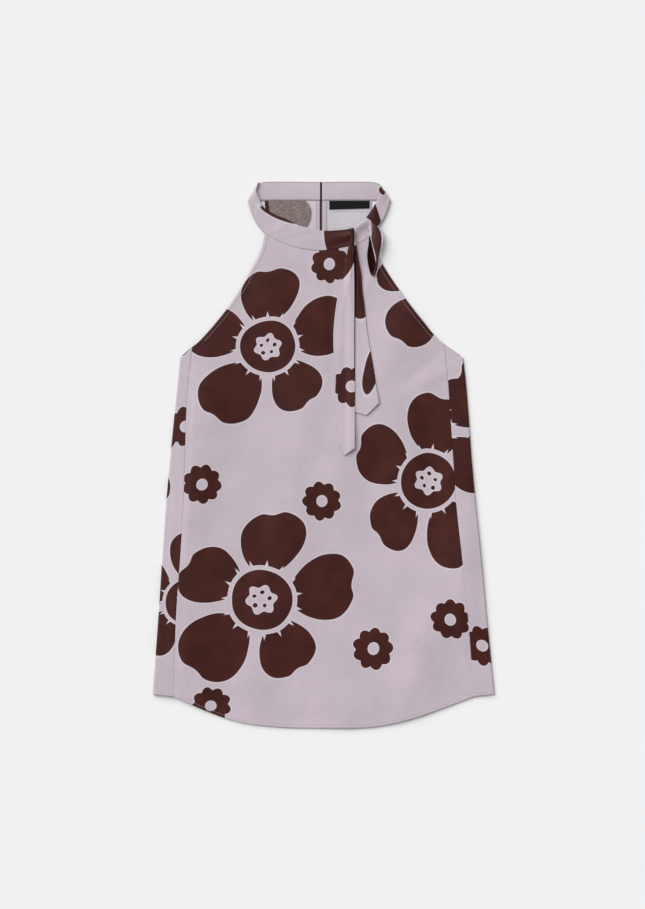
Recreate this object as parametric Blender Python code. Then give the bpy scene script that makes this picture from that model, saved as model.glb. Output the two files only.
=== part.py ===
# A sleeveless halter top of satin, laid flat with its front up and its back on the surface.
# The places below are in millimetres, and each solid is made in metres. +X is the viewer's right,
# +Y runs from the hem to the neck and +Z points up. The origin is on the surface under the middle.

import bmesh
import bpy
import numpy as np
from mathutils import Vector

MM = 0.001

# Thickness of each cloth, with its turnings
PANEL_WALL = 1.2
BAND_WALL = 2.0
TIE_WALL = 1.2
LABEL_WALL = 1.0

# Clearances: edge to edge at a seam, and between a piece and what it lies on
SEAM_GAP = 0.3
LAY_GAP = 0.4

# The front and the returns lie this high over the surface, and higher beside the side folds
LAYER_REST = PANEL_WALL + LAY_GAP
FOLD_PUFF = 0.9
FOLD_PUFF_REACH = 25.0
FOLD_RADIUS = 2.2

# Heights in the plan: the underarm, the top of each side seam, the ends of the curved neck edge,
# the lower edge of the neckband behind the neck, and the ends of the hem at fold and seam
UNDERARM = 134.0
SEAM_TOP = {"left": 147.4, "right": 150.6}
NECK_END = {"left": 300.0, "right": 302.2}
BACK_NECK = 343.2
HEM_AT_FOLD = -323.5
HEM_AT_SEAM = -326.5
BACK_HEM_RISE = 3.0

# The opening down the centre of the back
SLIT_X = -3.5
SLIT_WIDTH = 2.0
BAND_SLIT_WIDTH = 2.7
SLIT_END = 212.0

# Grid steps of the panels
SEAM_ROWS = 20
FRONT_ARMHOLE_ROWS = 10
BACK_ARMHOLE_ROWS = 12
FRONT_STEPS = 20
HALF_BACK_STEPS = 10
RETURN_STEPS = 3
FOLD_STEPS = 4

# Points read along the front band's edge, and the angle over which an edge of a wall is sharp
EDGE_POINTS = 400
SHARP_ANGLE = 50.0


def columns(names, rows):
    """One array for each named column of a table."""
    return dict(zip(names.split(), np.array(rows, float).T))


# The body below the underarm: the two side folds and the two seams, which lie on the front
BODY = columns("y left_fold left_seam right_seam right_fold", [
    (-325, -231.0, -201.5, 202.5, 231.0),
    (-225, -223.5, -199.2, 195.2, 220.9),
    (-130, -217.2, -192.8, 185.7, 212.1),
    (-65, -212.6, -189.0, 178.8, 205.4),
    (0, -206.7, -187.0, 174.7, 199.5),
    (60, -200.8, -185.2, 170.7, 195.3),
    (100, -196.7, -182.2, 168.1, 191.9),
    (134, -193.5, -178.6, 164.8, 188.0),
    (152, -191.8, -176.8, 163.0, 186.2),
])

# The armhole edges above the underarm. Over 300 they are the back's alone.
ARMHOLE = columns("y left right", [
    (134, -193.5, 188.0),
    (143, -183.2, 175.4),
    (152, -171.3, 162.0),
    (165, -158.8, 148.3),
    (180, -146.0, 136.4),
    (200, -130.4, 120.7),
    (225, -114.1, 103.0),
    (250, -99.9, 86.6),
    (275, -86.8, 73.0),
    (302, -80.0, 67.4),
    (344, -82.0, 67.7),
])

# The shirt-tail hem of the front, from seam to seam
HEM = columns("x y", [
    (-201.5, -326.5),
    (-160, -345.2),
    (-120, -359.6),
    (-70, -366.8),
    (8, -369.2),
    (72, -367.0),
    (120, -356.2),
    (160, -342.7),
    (202.5, -326.5),
])

# The front stretch of the neckband, from its left fold to its right one: its outer edge,
# which is sewn to the front, its inner edge and the height of its underside
FRONT_BAND = columns("outer_x outer_y inner_x inner_y under", [
    (-103.1, 342.6, -88.9, 368.3, 2.4),
    (-99.4, 331.4, -90.6, 357.6, 2.4),
    (-94.3, 318.7, -86.3, 344.2, 2.4),
    (-87.3, 308.0, -79.8, 333.4, 2.0),
    (-76.0, 297.0, -66.5, 325.0, 1.6),
    (-58.6, 287.9, -50.0, 318.0, 1.6),
    (-40.5, 281.0, -34.0, 310.0, 1.6),
    (-22.0, 277.2, -18.4, 306.2, 1.6),
    (-3.0, 275.9, -2.5, 302.8, 1.6),
    (15.0, 278.0, 17.5, 303.2, 1.6),
    (33.0, 281.6, 36.9, 305.6, 1.6),
    (48.0, 286.1, 47.5, 312.0, 1.6),
    (60.1, 294.0, 56.5, 320.3, 1.6),
    (70.0, 304.3, 64.3, 330.3, 1.8),
    (78.6, 314.8, 70.0, 338.8, 2.2),
    (85.3, 328.3, 74.2, 349.0, 2.4),
    (90.9, 343.4, 81.4, 357.4, 2.4),
])

# The two back stretches of the neckband, from the centre-back opening out to the fold
LEFT_BAND = columns("outer_x outer_y inner_x inner_y under", [
    (SLIT_X - BAND_SLIT_WIDTH / 2, 343.5, SLIT_X - BAND_SLIT_WIDTH / 2, 368.9, 0),
    (-45, 343.6, -44, 369.2, 0),
    (-80, 343.5, -74, 369.2, 0),
    (-103.1, 342.6, -88.9, 368.3, 0),
])
RIGHT_BAND = columns("outer_x outer_y inner_x inner_y under", [
    (SLIT_X + BAND_SLIT_WIDTH / 2, 343.5, SLIT_X + BAND_SLIT_WIDTH / 2, 368.9, 0),
    (30, 343.6, 30, 369.2, 0),
    (62, 343.6, 60, 369.0, 0),
    (74, 343.5, 70, 367.9, 0),
    (84, 343.4, 77.2, 364.2, 0),
    (90.9, 343.4, 81.4, 357.4, 0),
])

# The tie's two tails, from the neckband down, above their pointed ends. The rows of a tail turn
# level over the lowest sixth of it.
LONG_TAIL = columns("y left right", [
    (18.3, 20.3, 42.3),
    (51.5, 17.3, 42.3),
    (82, 15.8, 42.3),
    (109, 16.3, 42.3),
    (127, 14.3, 42.3),
    (169, 13.4, 42.3),
    (205, 17.3, 42.3),
    (229, 21.7, 42.3),
    (247, 26.0, 42.0),
    (265, 29.5, 41.6),
    (285, 33.8, 41.2),
    (304, 36.9, 41.4),
])
SHORT_TAIL = columns("y left right", [
    (69.6, 39.8, 74.5),
    (118, 39.5, 67.0),
    (169, 39.0, 58.6),
    (205, 39.0, 54.9),
    (223, 38.8, 52.5),
    (249.4, 38.5, 50.3),
    (262.8, 38.3, 47.7),
    (285, 37.8, 44.4),
    (302, 38.0, 42.6),
])
LONG_POINT = {"tip_x": 27.8, "tip_y": -1.3, "left_slope": 2.6, "right_slope": 0.72}
SHORT_POINT = {"tip_x": 57.9, "tip_y": 53.0, "left_slope": 0.31, "right_slope": 1.0}
POINT_SHARE = 1 / 6
TAIL_OVER_BAND = {"from_y": 250.0, "to_y": 268.0}
TAIL_OVER_TAIL = {"from_x": 28.0, "to_x": 37.5}

# The part of the tie that is turned over the neckband, a diamond that narrows to a waist
KNOT = columns("left_x left_y right_x right_y middle", [
    (69.0, 338.2, 70.2, 337.6, 5.4),
    (65.0, 331.0, 73.0, 328.8, 5.4),
    (60.6, 324.5, 75.4, 320.8, 5.5),
    (58.0, 320.2, 76.6, 315.6, 5.6),
    (63.2, 316.6, 75.4, 312.6, 5.6),
    (66.0, 311.2, 73.4, 309.2, 5.5),
])

# The hanging loop, along the ribbon: down its near side, round the bottom and up its far side
LOOP = columns("left_x left_y right_x right_y middle", [
    (66.1, 310.8, 73.4, 308.8, 5.5),
    (65.3, 302.0, 78.0, 302.0, 6.4),
    (63.8, 291.5, 80.4, 293.5, 7.3),
    (67.2, 281.5, 79.4, 283.0, 7.6),
    (69.2, 271.5, 77.0, 273.0, 7.3),
    (69.6, 261.5, 75.2, 262.5, 6.7),
    (68.0, 252.5, 74.2, 253.5, 6.3),
    (65.4, 245.6, 71.8, 245.4, 6.0),
    (64.6, 243.4, 71.0, 243.0, 5.1),
    (63.6, 245.8, 71.4, 245.6, 4.2),
    (61.2, 254.0, 71.5, 255.0, 4.1),
    (59.2, 264.0, 70.0, 265.0, 4.1),
    (58.7, 275.0, 67.5, 276.0, 4.2),
    (59.6, 286.0, 65.6, 287.5, 4.9),
    (60.0, 296.0, 64.8, 297.5, 5.1),
    (60.2, 306.0, 64.4, 306.5, 5.2),
    (60.4, 317.2, 62.9, 315.4, 5.3),
])

LABEL = {"left": 7.6, "right": 62.1, "top": 342.9, "left_bottom": 331.4, "right_bottom": 332.8}

# Soft folds raised in the front: the middle of each, its lean from upright, half its length and
# width, and its height
SOFT_FOLDS = columns("x y lean length width height", [
    (-172, -45, 3, 120, 24, 1.1),
    (-176, -250, 4, 70, 22, 0.8),
    (-142, 40, -6, 90, 30, 0.7),
    (-70, 200, -28, 70, 30, 0.6),
    (-40, -70, 6, 170, 46, 0.7),
    (-95, -300, -12, 60, 28, 0.8),
    (105, 160, 30, 70, 28, 0.7),
    (120, 20, -4, 130, 34, 0.8),
    (117, -285, 12, 70, 28, 1.1),
    (176, -140, -4, 110, 22, 0.9),
    (30, -335, 8, 45, 26, 0.7),
])

LILAC = (0.571, 0.497, 0.565, 1.0)
DARK_BROWN = (0.058, 0.019, 0.016, 1.0)
BLACK = (0.008, 0.008, 0.009, 1.0)


def smooth(at, known, values):
    """The value at one place of a smooth curve through the known points."""
    slopes = np.gradient(values, known)
    i = int(np.clip(np.searchsorted(known, at) - 1, 0, len(known) - 2))
    span = known[i + 1] - known[i]
    t = min(max((at - known[i]) / span, 0.0), 1.0)
    kept = values[i] * (2 * t**3 - 3 * t**2 + 1) + values[i + 1] * (3 * t**2 - 2 * t**3)
    bent = slopes[i] * (t**3 - 2 * t**2 + t) + slopes[i + 1] * (t**3 - t**2)
    return kept + bent * span


def read(table, column, at, key="y"):
    return smooth(at, table[key], table[column])


def mix(start, end, t):
    return start + (end - start) * t


def ramp(at, start, end):
    """0 before start, 1 after end, with a soft turn between them."""
    t = min(max((at - start) / (end - start), 0.0), 1.0)
    return t * t * (3 - 2 * t)


def layer_under(x, y):
    """Height of the underside of the front and the returns, with the soft folds in it."""
    lean = np.radians(SOFT_FOLDS["lean"])
    east = x - SOFT_FOLDS["x"]
    north = y - SOFT_FOLDS["y"]
    along = (north * np.cos(lean) + east * np.sin(lean)) / SOFT_FOLDS["length"]
    across = (east * np.cos(lean) - north * np.sin(lean)) / SOFT_FOLDS["width"]
    folds = float((SOFT_FOLDS["height"] * np.exp(-(along**2) - across**2)).sum())
    to_fold = min(x - read(BODY, "left_fold", y), read(BODY, "right_fold", y) - x)
    beside = FOLD_PUFF * np.exp(-((max(to_fold, 0.0) / FOLD_PUFF_REACH) ** 2))
    return LAYER_REST + folds + beside


def satin(name, colour, roughness):
    material = bpy.data.materials.new(name)
    material.use_nodes = True
    shader = material.node_tree.nodes["Principled BSDF"]
    shader.inputs["Base Color"].default_value = colour
    shader.inputs["Roughness"].default_value = roughness
    shader.inputs["Metallic"].default_value = 0.0
    material.diffuse_color = colour
    return material


def cloth_wall(name, steps, rows, place, material, has_face=None):
    """A closed wall from a flat grid of steps by rows, drawn out into two faces.

    place(step, row, outer) gives each corner in millimetres, on the inner or the outer face.
    has_face(step, row) leaves a grid square out where it is false.
    """
    wall = bmesh.new()
    bmesh.ops.create_grid(wall, x_segments=steps, y_segments=rows, size=0.5)
    if has_face:
        gone = []
        for face in wall.faces:
            middle = face.calc_center_median()
            step = int((middle.x + 0.5) * steps)
            row = int((middle.y + 0.5) * rows)
            if not has_face(step, row):
                gone.append(face)
        bmesh.ops.delete(wall, geom=gone, context="FACES")
    drawn = bmesh.ops.extrude_face_region(wall, geom=wall.faces[:])
    outer = {v for v in drawn["geom"] if isinstance(v, bmesh.types.BMVert)}
    for vertex in wall.verts:
        step = round((vertex.co.x + 0.5) * steps)
        row = round((vertex.co.y + 0.5) * rows)
        vertex.co = Vector(place(step, row, vertex in outer)) * MM
    bmesh.ops.recalc_face_normals(wall, faces=wall.faces[:])
    mesh = bpy.data.meshes.new(name)
    wall.to_mesh(mesh)
    wall.free()
    mesh.materials.append(material)
    mesh.shade_smooth()
    mesh.set_sharp_from_angle(angle=np.radians(SHARP_ANGLE))
    piece = bpy.data.objects.new(name, mesh)
    bpy.context.scene.collection.objects.link(piece)
    return piece


def hem_drop(x):
    """How far the shirt-tail hem hangs below the hem's height at the seams."""
    return min(read(HEM, "y", x, "x") - HEM_AT_SEAM, 0.0)


def front_band_edge(x):
    """Height in the plan of the front band's outer edge."""
    order = np.arange(len(FRONT_BAND["outer_x"]), dtype=float)
    fine = np.linspace(0, order[-1], EDGE_POINTS)
    edge_x = [smooth(at, order, FRONT_BAND["outer_x"]) for at in fine]
    edge_y = [smooth(at, order, FRONT_BAND["outer_y"]) for at in fine]
    return float(np.interp(x, edge_x, edge_y))


def neck_dip(across):
    """How far the neck edge, just clear of the band, lies below the line between its two ends."""
    left_x = read(ARMHOLE, "left", NECK_END["left"])
    x = mix(left_x, read(ARMHOLE, "right", NECK_END["right"]), across)
    return mix(NECK_END["left"], NECK_END["right"], across) - front_band_edge(x) + 1.5 * SEAM_GAP


def front_panel(material):
    rows = SEAM_ROWS + FRONT_ARMHOLE_ROWS

    def place(step, row, outer):
        across = step / FRONT_STEPS
        if row <= SEAM_ROWS:
            up = row / SEAM_ROWS
            left_y = mix(HEM_AT_SEAM, SEAM_TOP["left"], up)
            right_y = mix(HEM_AT_SEAM, SEAM_TOP["right"], up)
            left_x = read(BODY, "left_seam", left_y) + SEAM_GAP / 2
            right_x = read(BODY, "right_seam", right_y) - SEAM_GAP / 2
            x = mix(left_x, right_x, across)
            y = mix(left_y, right_y, across) + hem_drop(x) * (1 - up) ** 2
        else:
            up = (row - SEAM_ROWS) / FRONT_ARMHOLE_ROWS
            left_y = mix(SEAM_TOP["left"], NECK_END["left"], up)
            right_y = mix(SEAM_TOP["right"], NECK_END["right"], up)
            x = mix(read(ARMHOLE, "left", left_y), read(ARMHOLE, "right", right_y), across)
            y = mix(left_y, right_y, across) - neck_dip(across) * up**2
        under = layer_under(x, y)
        return x, y, under + PANEL_WALL if outer else under

    return cloth_wall("front_panel", FRONT_STEPS, rows, place, material)


def back_panel(material):
    """The back, which folds up round each side and returns over the top to its seam."""
    left_fold = RETURN_STEPS
    back_start = left_fold + FOLD_STEPS
    slit = back_start + HALF_BACK_STEPS
    back_end = slit + 1 + HALF_BACK_STEPS
    right_return = back_end + FOLD_STEPS
    steps = right_return + RETURN_STEPS
    rows = SEAM_ROWS + BACK_ARMHOLE_ROWS
    slit_row = SEAM_ROWS + round((SLIT_END - UNDERARM) / (BACK_NECK - UNDERARM) * BACK_ARMHOLE_ROWS)

    def has_face(step, row):
        if row < SEAM_ROWS:
            return True
        return back_start <= step < back_end and not (step == slit and row >= slit_row)

    def back_x(step, left, right):
        if step <= slit:
            return mix(left, SLIT_X - SLIT_WIDTH / 2, (step - back_start) / HALF_BACK_STEPS)
        return mix(SLIT_X + SLIT_WIDTH / 2, right, (step - slit - 1) / HALF_BACK_STEPS)

    def place_return(side, out, up, outer):
        """out is 0 at the seam and 1 at the top of the fold."""
        y = mix(mix(HEM_AT_SEAM, HEM_AT_FOLD, out), mix(SEAM_TOP[side], UNDERARM, out), up)
        inward = 1 if side == "left" else -1
        seam = read(BODY, side + "_seam", y) - inward * SEAM_GAP / 2
        fold = read(BODY, side + "_fold", y) + inward * FOLD_RADIUS
        x = mix(seam, fold, out)
        under = layer_under(x, y)
        return x, y, under + PANEL_WALL if outer else under

    def place_fold(side, turn, up, outer):
        """turn is 0 at the top of the fold and 1 at the bottom."""
        y = mix(HEM_AT_FOLD, UNDERARM, up)
        inward = 1 if side == "left" else -1
        middle_x = read(BODY, side + "_fold", y) + inward * FOLD_RADIUS
        middle_z = (layer_under(middle_x, y) + PANEL_WALL) / 2
        wall = 0.0 if outer else PANEL_WALL
        angle = np.pi * turn
        x = middle_x - inward * (FOLD_RADIUS - wall) * np.sin(angle)
        return x, y, middle_z + (middle_z - wall) * np.cos(angle)

    def place(step, row, outer):
        up = row / SEAM_ROWS
        if step <= left_fold:
            return place_return("left", step / RETURN_STEPS, up, outer)
        if step < back_start:
            return place_fold("left", (step - left_fold) / FOLD_STEPS, up, outer)
        if step > right_return:
            return place_return("right", (steps - step) / RETURN_STEPS, up, outer)
        if step > back_end:
            return place_fold("right", (right_return - step) / FOLD_STEPS, up, outer)
        height = 0.0 if outer else PANEL_WALL
        if row <= SEAM_ROWS:
            y = mix(HEM_AT_FOLD, UNDERARM, up)
            left = read(BODY, "left_fold", y) + FOLD_RADIUS
            x = back_x(step, left, read(BODY, "right_fold", y) - FOLD_RADIUS)
            drop = min(hem_drop(x) + BACK_HEM_RISE, 0.0)
            return x, y + drop * (1 - up) ** 2, height
        y = mix(UNDERARM, BACK_NECK, (row - SEAM_ROWS) / BACK_ARMHOLE_ROWS)
        left = read(ARMHOLE, "left", y) + FOLD_RADIUS
        return back_x(step, left, read(ARMHOLE, "right", y) - FOLD_RADIUS), y, height

    return cloth_wall("back_panel", steps, rows, place, material, has_face)


def neckband(name, table, steps_each, material):
    """A stretch of the flat neckband through its sections."""
    order = np.arange(len(table["under"]), dtype=float)
    rows = steps_each * (len(order) - 1)
    across_steps = 3

    def place(step, row, outer):
        at = row / steps_each
        across = step / across_steps
        x = mix(smooth(at, order, table["outer_x"]), smooth(at, order, table["inner_x"]), across)
        y = mix(smooth(at, order, table["outer_y"]), smooth(at, order, table["inner_y"]), across)
        under = smooth(at, order, table["under"])
        return x, y, under + BAND_WALL if outer else under

    return cloth_wall(name, across_steps, rows, place, material)


def under_tail(x, y):
    """Height at which a tail that lies on the front and over the band has its underside."""
    on_front = layer_under(x, y) + PANEL_WALL
    on_band = LAYER_REST + BAND_WALL
    up = ramp(y, TAIL_OVER_BAND["from_y"], TAIL_OVER_BAND["to_y"])
    return mix(on_front, max(on_front, on_band), up) + LAY_GAP


def tie_tail(name, table, point, steps, rows, lift, material):
    """A tail made from points of the front, moved out. lift(x) raises it over another tail."""

    def place(step, row, outer):
        across = step / steps
        up = row / rows
        low, high = table["y"][0], table["y"][-1]
        y = mix(low, high, up)
        x = mix(read(table, "left", y), read(table, "right", y), across)
        slope = point["left_slope"] if x < point["tip_x"] else point["right_slope"]
        end_y = point["tip_y"] + abs(x - point["tip_x"]) * slope
        y += (end_y - low) * (1 - min(up / POINT_SHARE, 1.0))
        under = under_tail(x, y) + lift(x)
        return x, y, under + TIE_WALL if outer else under

    return cloth_wall(name, steps, rows, place, material)


def tie_tails(material):
    over = TIE_WALL + LAY_GAP

    def over_short_tail(x):
        return over * ramp(x, TAIL_OVER_TAIL["from_x"], TAIL_OVER_TAIL["to_x"])

    tie_tail("tie_tail_long", LONG_TAIL, LONG_POINT, 6, 24, over_short_tail, material)
    tie_tail("tie_tail_short", SHORT_TAIL, SHORT_POINT, 4, 18, lambda x: 0.0, material)


def ribbon(name, table, steps_each, material):
    """A strip of the tie bent in space, with half its wall on each side of its middle surface."""
    order = np.arange(len(table["middle"]), dtype=float)
    rows = steps_each * (len(order) - 1)
    across_steps = 3

    def middle(across, at):
        ends = [
            Vector([smooth(at, order, table[side + "_x"]), smooth(at, order, table[side + "_y"]), 0.0])
            for side in ("left", "right")
        ]
        return ends[0].lerp(ends[1], across) + Vector((0, 0, smooth(at, order, table["middle"])))

    def place(step, row, outer):
        at = row / steps_each
        across = step / across_steps
        near = 0.05
        along = middle(across, min(at + near, order[-1])) - middle(across, max(at - near, 0.0))
        side = middle(1.0, at) - middle(0.0, at)
        out = along.cross(side).normalized()
        return middle(across, at) + out * (TIE_WALL / 2 if outer else -TIE_WALL / 2)

    return cloth_wall(name, across_steps, rows, place, material)


def label(material):
    across_steps = 2
    under = PANEL_WALL + LAY_GAP

    def place(step, row, outer):
        across = step / across_steps
        bottom = mix(LABEL["left_bottom"], LABEL["right_bottom"], across)
        x = mix(LABEL["left"], LABEL["right"], across)
        return x, mix(bottom, LABEL["top"], row), under + LABEL_WALL if outer else under

    return cloth_wall("label", across_steps, 1, place, material)


def build():
    for old in list(bpy.data.objects):
        bpy.data.objects.remove(old, do_unlink=True)
    printed = satin("printed_satin", LILAC, 0.42)
    dark = satin("dark_satin", DARK_BROWN, 0.4)
    woven = satin("woven_label", BLACK, 0.75)
    back_panel(printed)
    front_panel(printed)
    neckband("neckband_front", FRONT_BAND, 3, printed)
    neckband("neckband_back_left", LEFT_BAND, 4, printed)
    neckband("neckband_back_right", RIGHT_BAND, 3, printed)
    tie_tails(printed)
    ribbon("tie_knot", KNOT, 2, dark)
    ribbon("tie_loop", LOOP, 3, dark)
    label(woven)


build()
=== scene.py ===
import bmesh
import bpy
import numpy as np
from mathutils import Matrix, Vector


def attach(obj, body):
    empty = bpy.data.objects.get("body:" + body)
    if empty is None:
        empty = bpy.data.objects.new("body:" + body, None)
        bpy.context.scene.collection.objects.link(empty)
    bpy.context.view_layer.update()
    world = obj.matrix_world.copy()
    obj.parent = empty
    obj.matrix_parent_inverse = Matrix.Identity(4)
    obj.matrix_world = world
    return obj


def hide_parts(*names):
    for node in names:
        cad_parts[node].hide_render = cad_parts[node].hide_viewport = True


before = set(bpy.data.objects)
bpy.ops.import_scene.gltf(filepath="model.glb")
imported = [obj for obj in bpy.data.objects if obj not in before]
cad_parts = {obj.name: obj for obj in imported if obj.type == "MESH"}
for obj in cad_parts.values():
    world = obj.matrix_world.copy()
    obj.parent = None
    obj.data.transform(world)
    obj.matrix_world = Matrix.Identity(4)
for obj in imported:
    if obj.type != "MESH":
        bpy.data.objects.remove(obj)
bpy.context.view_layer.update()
mm = 0.001


# Reading the tables
def columnsOf(names, rows):
    return dict(zip(names.split(), np.array(rows, float).T))


def curveAt(known, values, at):  # a smooth curve through the known points
    slopes = np.gradient(values, known)
    at = np.asarray(at, float)
    i = np.clip(np.searchsorted(known, at) - 1, 0, len(known) - 2)
    span = known[i + 1] - known[i]
    t = np.clip((at - known[i]) / span, 0, 1)
    kept = values[i] * (2 * t**3 - 3 * t**2 + 1) + values[i + 1] * (3 * t**2 - 2 * t**3)
    bent = slopes[i] * (t**3 - 2 * t**2 + t) + slopes[i + 1] * (t**3 - t**2)
    return kept + bent * span


def read(table, column, at, key="y"):
    return curveAt(table[key], table[column], at)


def mix(start, end, t):
    return start + (end - start) * t


def ramp(at, start, end):
    t = np.clip((at - start) / (end - start), 0, 1)
    return t * t * (3 - 2 * t)


# The garment: heights in the plan, clearances and the shape of its outline
garment = {
    "underarm": 134.0,
    "seamTop": {"left": 147.4, "right": 150.6},
    "neckEnd": {"left": 300.0, "right": 302.2},
    "backNeck": 343.2,
    "hemAtFold": -323.5,
    "hemAtSeam": -326.5,
    "backHemRise": 3.0,
    "seamGap": 0.12,
    "neckGap": 0.30,
    "layGap": 0.4,
    "panelWall": 1.2,
    "bandWall": 2.0,
    "tieWall": 1.2,
    "foldPuff": 0.9,
    "foldPuffReach": 25.0,
    "foldRadius": 2.2,
    "creaseShare": 0.78,
}
layerRest = garment["panelWall"] + garment["layGap"]

bodyLines = columnsOf("y leftFold leftSeam rightSeam rightFold", [
    (-325, -231.0, -201.5, 202.5, 231.0),
    (-225, -223.5, -199.2, 195.2, 220.9),
    (-130, -217.2, -192.8, 185.7, 212.1),
    (-65, -212.6, -189.0, 178.8, 205.4),
    (0, -206.7, -187.0, 174.7, 199.5),
    (60, -200.8, -185.2, 170.7, 195.3),
    (100, -196.7, -182.2, 168.1, 191.9),
    (134, -193.5, -178.6, 164.8, 188.0),
    (152, -191.8, -176.8, 163.0, 186.2),
])
armholeLines = columnsOf("y left right", [
    (134, -193.5, 188.0),
    (143, -183.2, 175.4),
    (152, -171.3, 162.0),
    (165, -158.8, 148.3),
    (180, -146.0, 136.4),
    (200, -130.4, 120.7),
    (225, -114.1, 103.0),
    (250, -99.9, 86.6),
    (275, -86.8, 73.0),
    (302, -80.0, 67.4),
    (344, -82.0, 67.7),
])
hemLine = columnsOf("x y", [
    (-201.5, -326.5),
    (-160, -345.2),
    (-120, -359.6),
    (-70, -366.8),
    (8, -369.2),
    (72, -367.0),
    (120, -356.2),
    (160, -342.7),
    (202.5, -326.5),
])

# Soft folds of the whole layer: place, lean from upright, half length, half width and height
softFolds = columnsOf("x y lean length width height", [
    (-176, -45, 3, 120, 24, 3.2),
    (-190, -250, 6, 110, 46, 4.4),
    (-148, 64, -8, 80, 28, 3.6),
    (-66, 218, -34, 60, 28, 3.0),
    (-48, -70, 6, 170, 42, 2.6),
    (-95, -300, -12, 60, 28, 2.2),
    (105, 160, 30, 70, 28, 2.4),
    (96, 36, -14, 90, 28, 3.6),
    (134, -266, 16, 90, 34, 4.8),
    (188, -140, -4, 120, 26, 3.4),
    (30, -335, 8, 45, 26, 2.0),
    (22, -10, 10, 60, 26, 2.2),
    (-3.5, 262, 0, 75, 12, 0.55),
])
# Finer creases in the outer face alone: ridges are above nought, troughs below
fineCreases = columnsOf("x y lean length width height", [
    (-166, 96, -62, 34, 6, 0.75),
    (-150, 112, -52, 40, 7, -0.70),
    (-140, 128, -44, 36, 6, 0.65),
    (-128, 96, -58, 44, 9, -0.40),
    (150, 104, 58, 34, 7, 0.75),
    (138, 122, 48, 36, 6, -0.60),
    (126, 98, 62, 40, 9, 0.40),
    (-183, -10, 2, 55, 5, -0.40),
    (-176, 40, 4, 60, 4, 0.40),
    (-183, -90, 4, 60, 6, 0.55),
    (-190, -205, 3, 50, 6, -0.45),
    (-188, -285, 5, 38, 7, 0.60),
    (-205, -120, 4, 70, 4, 0.35),
    (-212, -230, 4, 60, 5, -0.35),
    (168, -30, -3, 60, 6, 0.50),
    (174, -110, -5, 48, 6, -0.45),
    (184, -215, -5, 52, 7, 0.55),
    (196, -60, -5, 70, 4, 0.35),
    (210, -200, -5, 60, 5, -0.35),
    (-60, -332, -14, 26, 9, 0.60),
    (-20, -342, -4, 22, 8, -0.45),
    (66, -338, 6, 28, 9, 0.60),
    (128, -326, 14, 26, 8, -0.50),
    (-134, -322, -16, 30, 9, -0.50),
    (-58, 262, -24, 26, 6, 0.50),
    (-22, 254, -10, 26, 6, -0.40),
    (8, 246, 4, 24, 6, 0.35),
    (58, 262, 18, 28, 5, -0.45),
    (64, 240, 26, 36, 6, 0.50),
    (11, 160, 0, 70, 6, -0.80),
    (-38, -20, 2, 60, 7, 0.40),
    (-12, 60, 14, 90, 16, 0.45),
    (119, -20, 1, 50, 8, 0.40),
    (73, -20, 12, 30, 14, -1.1),
    (-128, -20, 24, 40, 14, -1.1),
    (96, -276, 14, 44, 15, -1.2),
    (70, -90, -10, 90, 18, -0.70),
    (-96, -130, 10, 90, 16, -0.60),
    (20, -215, -8, 80, 18, 0.70),
    (90, -190, 12, 60, 14, 0.60),
    (-42, 192, -34, 44, 18, -1.1),
    (-100, -250, 28, 60, 16, -0.8),
    (-60, -318, 36, 40, 14, -0.7),
])


def foldHeight(table, x, y):
    lean = np.radians(table["lean"])[:, None]
    east = x[None, :] - table["x"][:, None]
    north = y[None, :] - table["y"][:, None]
    along = (north * np.cos(lean) + east * np.sin(lean)) / table["length"][:, None]
    across = (east * np.cos(lean) - north * np.sin(lean)) / table["width"][:, None]
    return (table["height"][:, None] * np.exp(-(along**2) - across**2)).sum(axis=0)


def creaseHeight(table, x, y, wall):  # troughs stay shallower than the wall
    height = foldHeight(table, x, y)
    deepest = garment["creaseShare"] * wall
    return np.where(height < 0, deepest * np.tanh(height / deepest), height)


def layerUnder(x, y):  # underside of the front and the returns
    toFold = np.minimum(x - read(bodyLines, "leftFold", y), read(bodyLines, "rightFold", y) - x)
    beside = garment["foldPuff"] * np.exp(-((np.maximum(toFold, 0) / garment["foldPuffReach"]) ** 2))
    return layerRest + foldHeight(softFolds, x, y) + beside


def hemDrop(x):
    return np.minimum(read(hemLine, "y", x, "x") - garment["hemAtSeam"], 0)


# Edges of cloth: how high the outer face stands at each inset, which is in widths of the hem
edgeShape = columnsOf("inset hem seam round sewn", [
    (0.00, -0.75, -0.32, -0.90, -0.80),
    (0.03, -0.40, -0.17, -0.50, -0.42),
    (0.10, -0.05, -0.08, -0.18, -0.10),
    (0.22, 0.18, -0.03, -0.02, 0.04),
    (0.45, 0.30, 0.00, 0.00, -0.30),
    (0.68, 0.28, 0.00, 0.00, 0.02),
    (0.78, 0.14, 0.00, 0.00, 0.04),
    (0.86, -0.12, 0.00, 0.00, 0.03),
    (0.94, 0.10, 0.00, 0.00, 0.02),
    (1.10, 0.14, 0.00, 0.00, 0.01),
    (1.45, 0.00, 0.00, 0.00, 0.00),
])
pucker = {
    "height": 0.22,
    "pitch": 6.5,
    "reach": 4.0,
    "drift": 1.7,
    "driftLength": 23,
    "evenShare": 0.6,
    "fadeLength": 41,
    "returnShift": 2,
}


def puckerHeight(fromSeam, y):  # small waves drawn in by the thread of a side seam
    drift = pucker["drift"] * np.sin(y / pucker["driftLength"])
    fade = pucker["evenShare"] + (1 - pucker["evenShare"]) * np.sin(y / pucker["fadeLength"])
    wave = np.sin(2 * np.pi * y / pucker["pitch"] + drift) * fade
    return pucker["height"] * wave * np.exp(-((fromSeam / pucker["reach"]) ** 2))


stitchStop = 7  # the row of edgeShape that a hem's thread lies on
sewnStop = 4  # and the one that the thread of a sewn edge lies on
edgeSteps = len(edgeShape["inset"])


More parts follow.
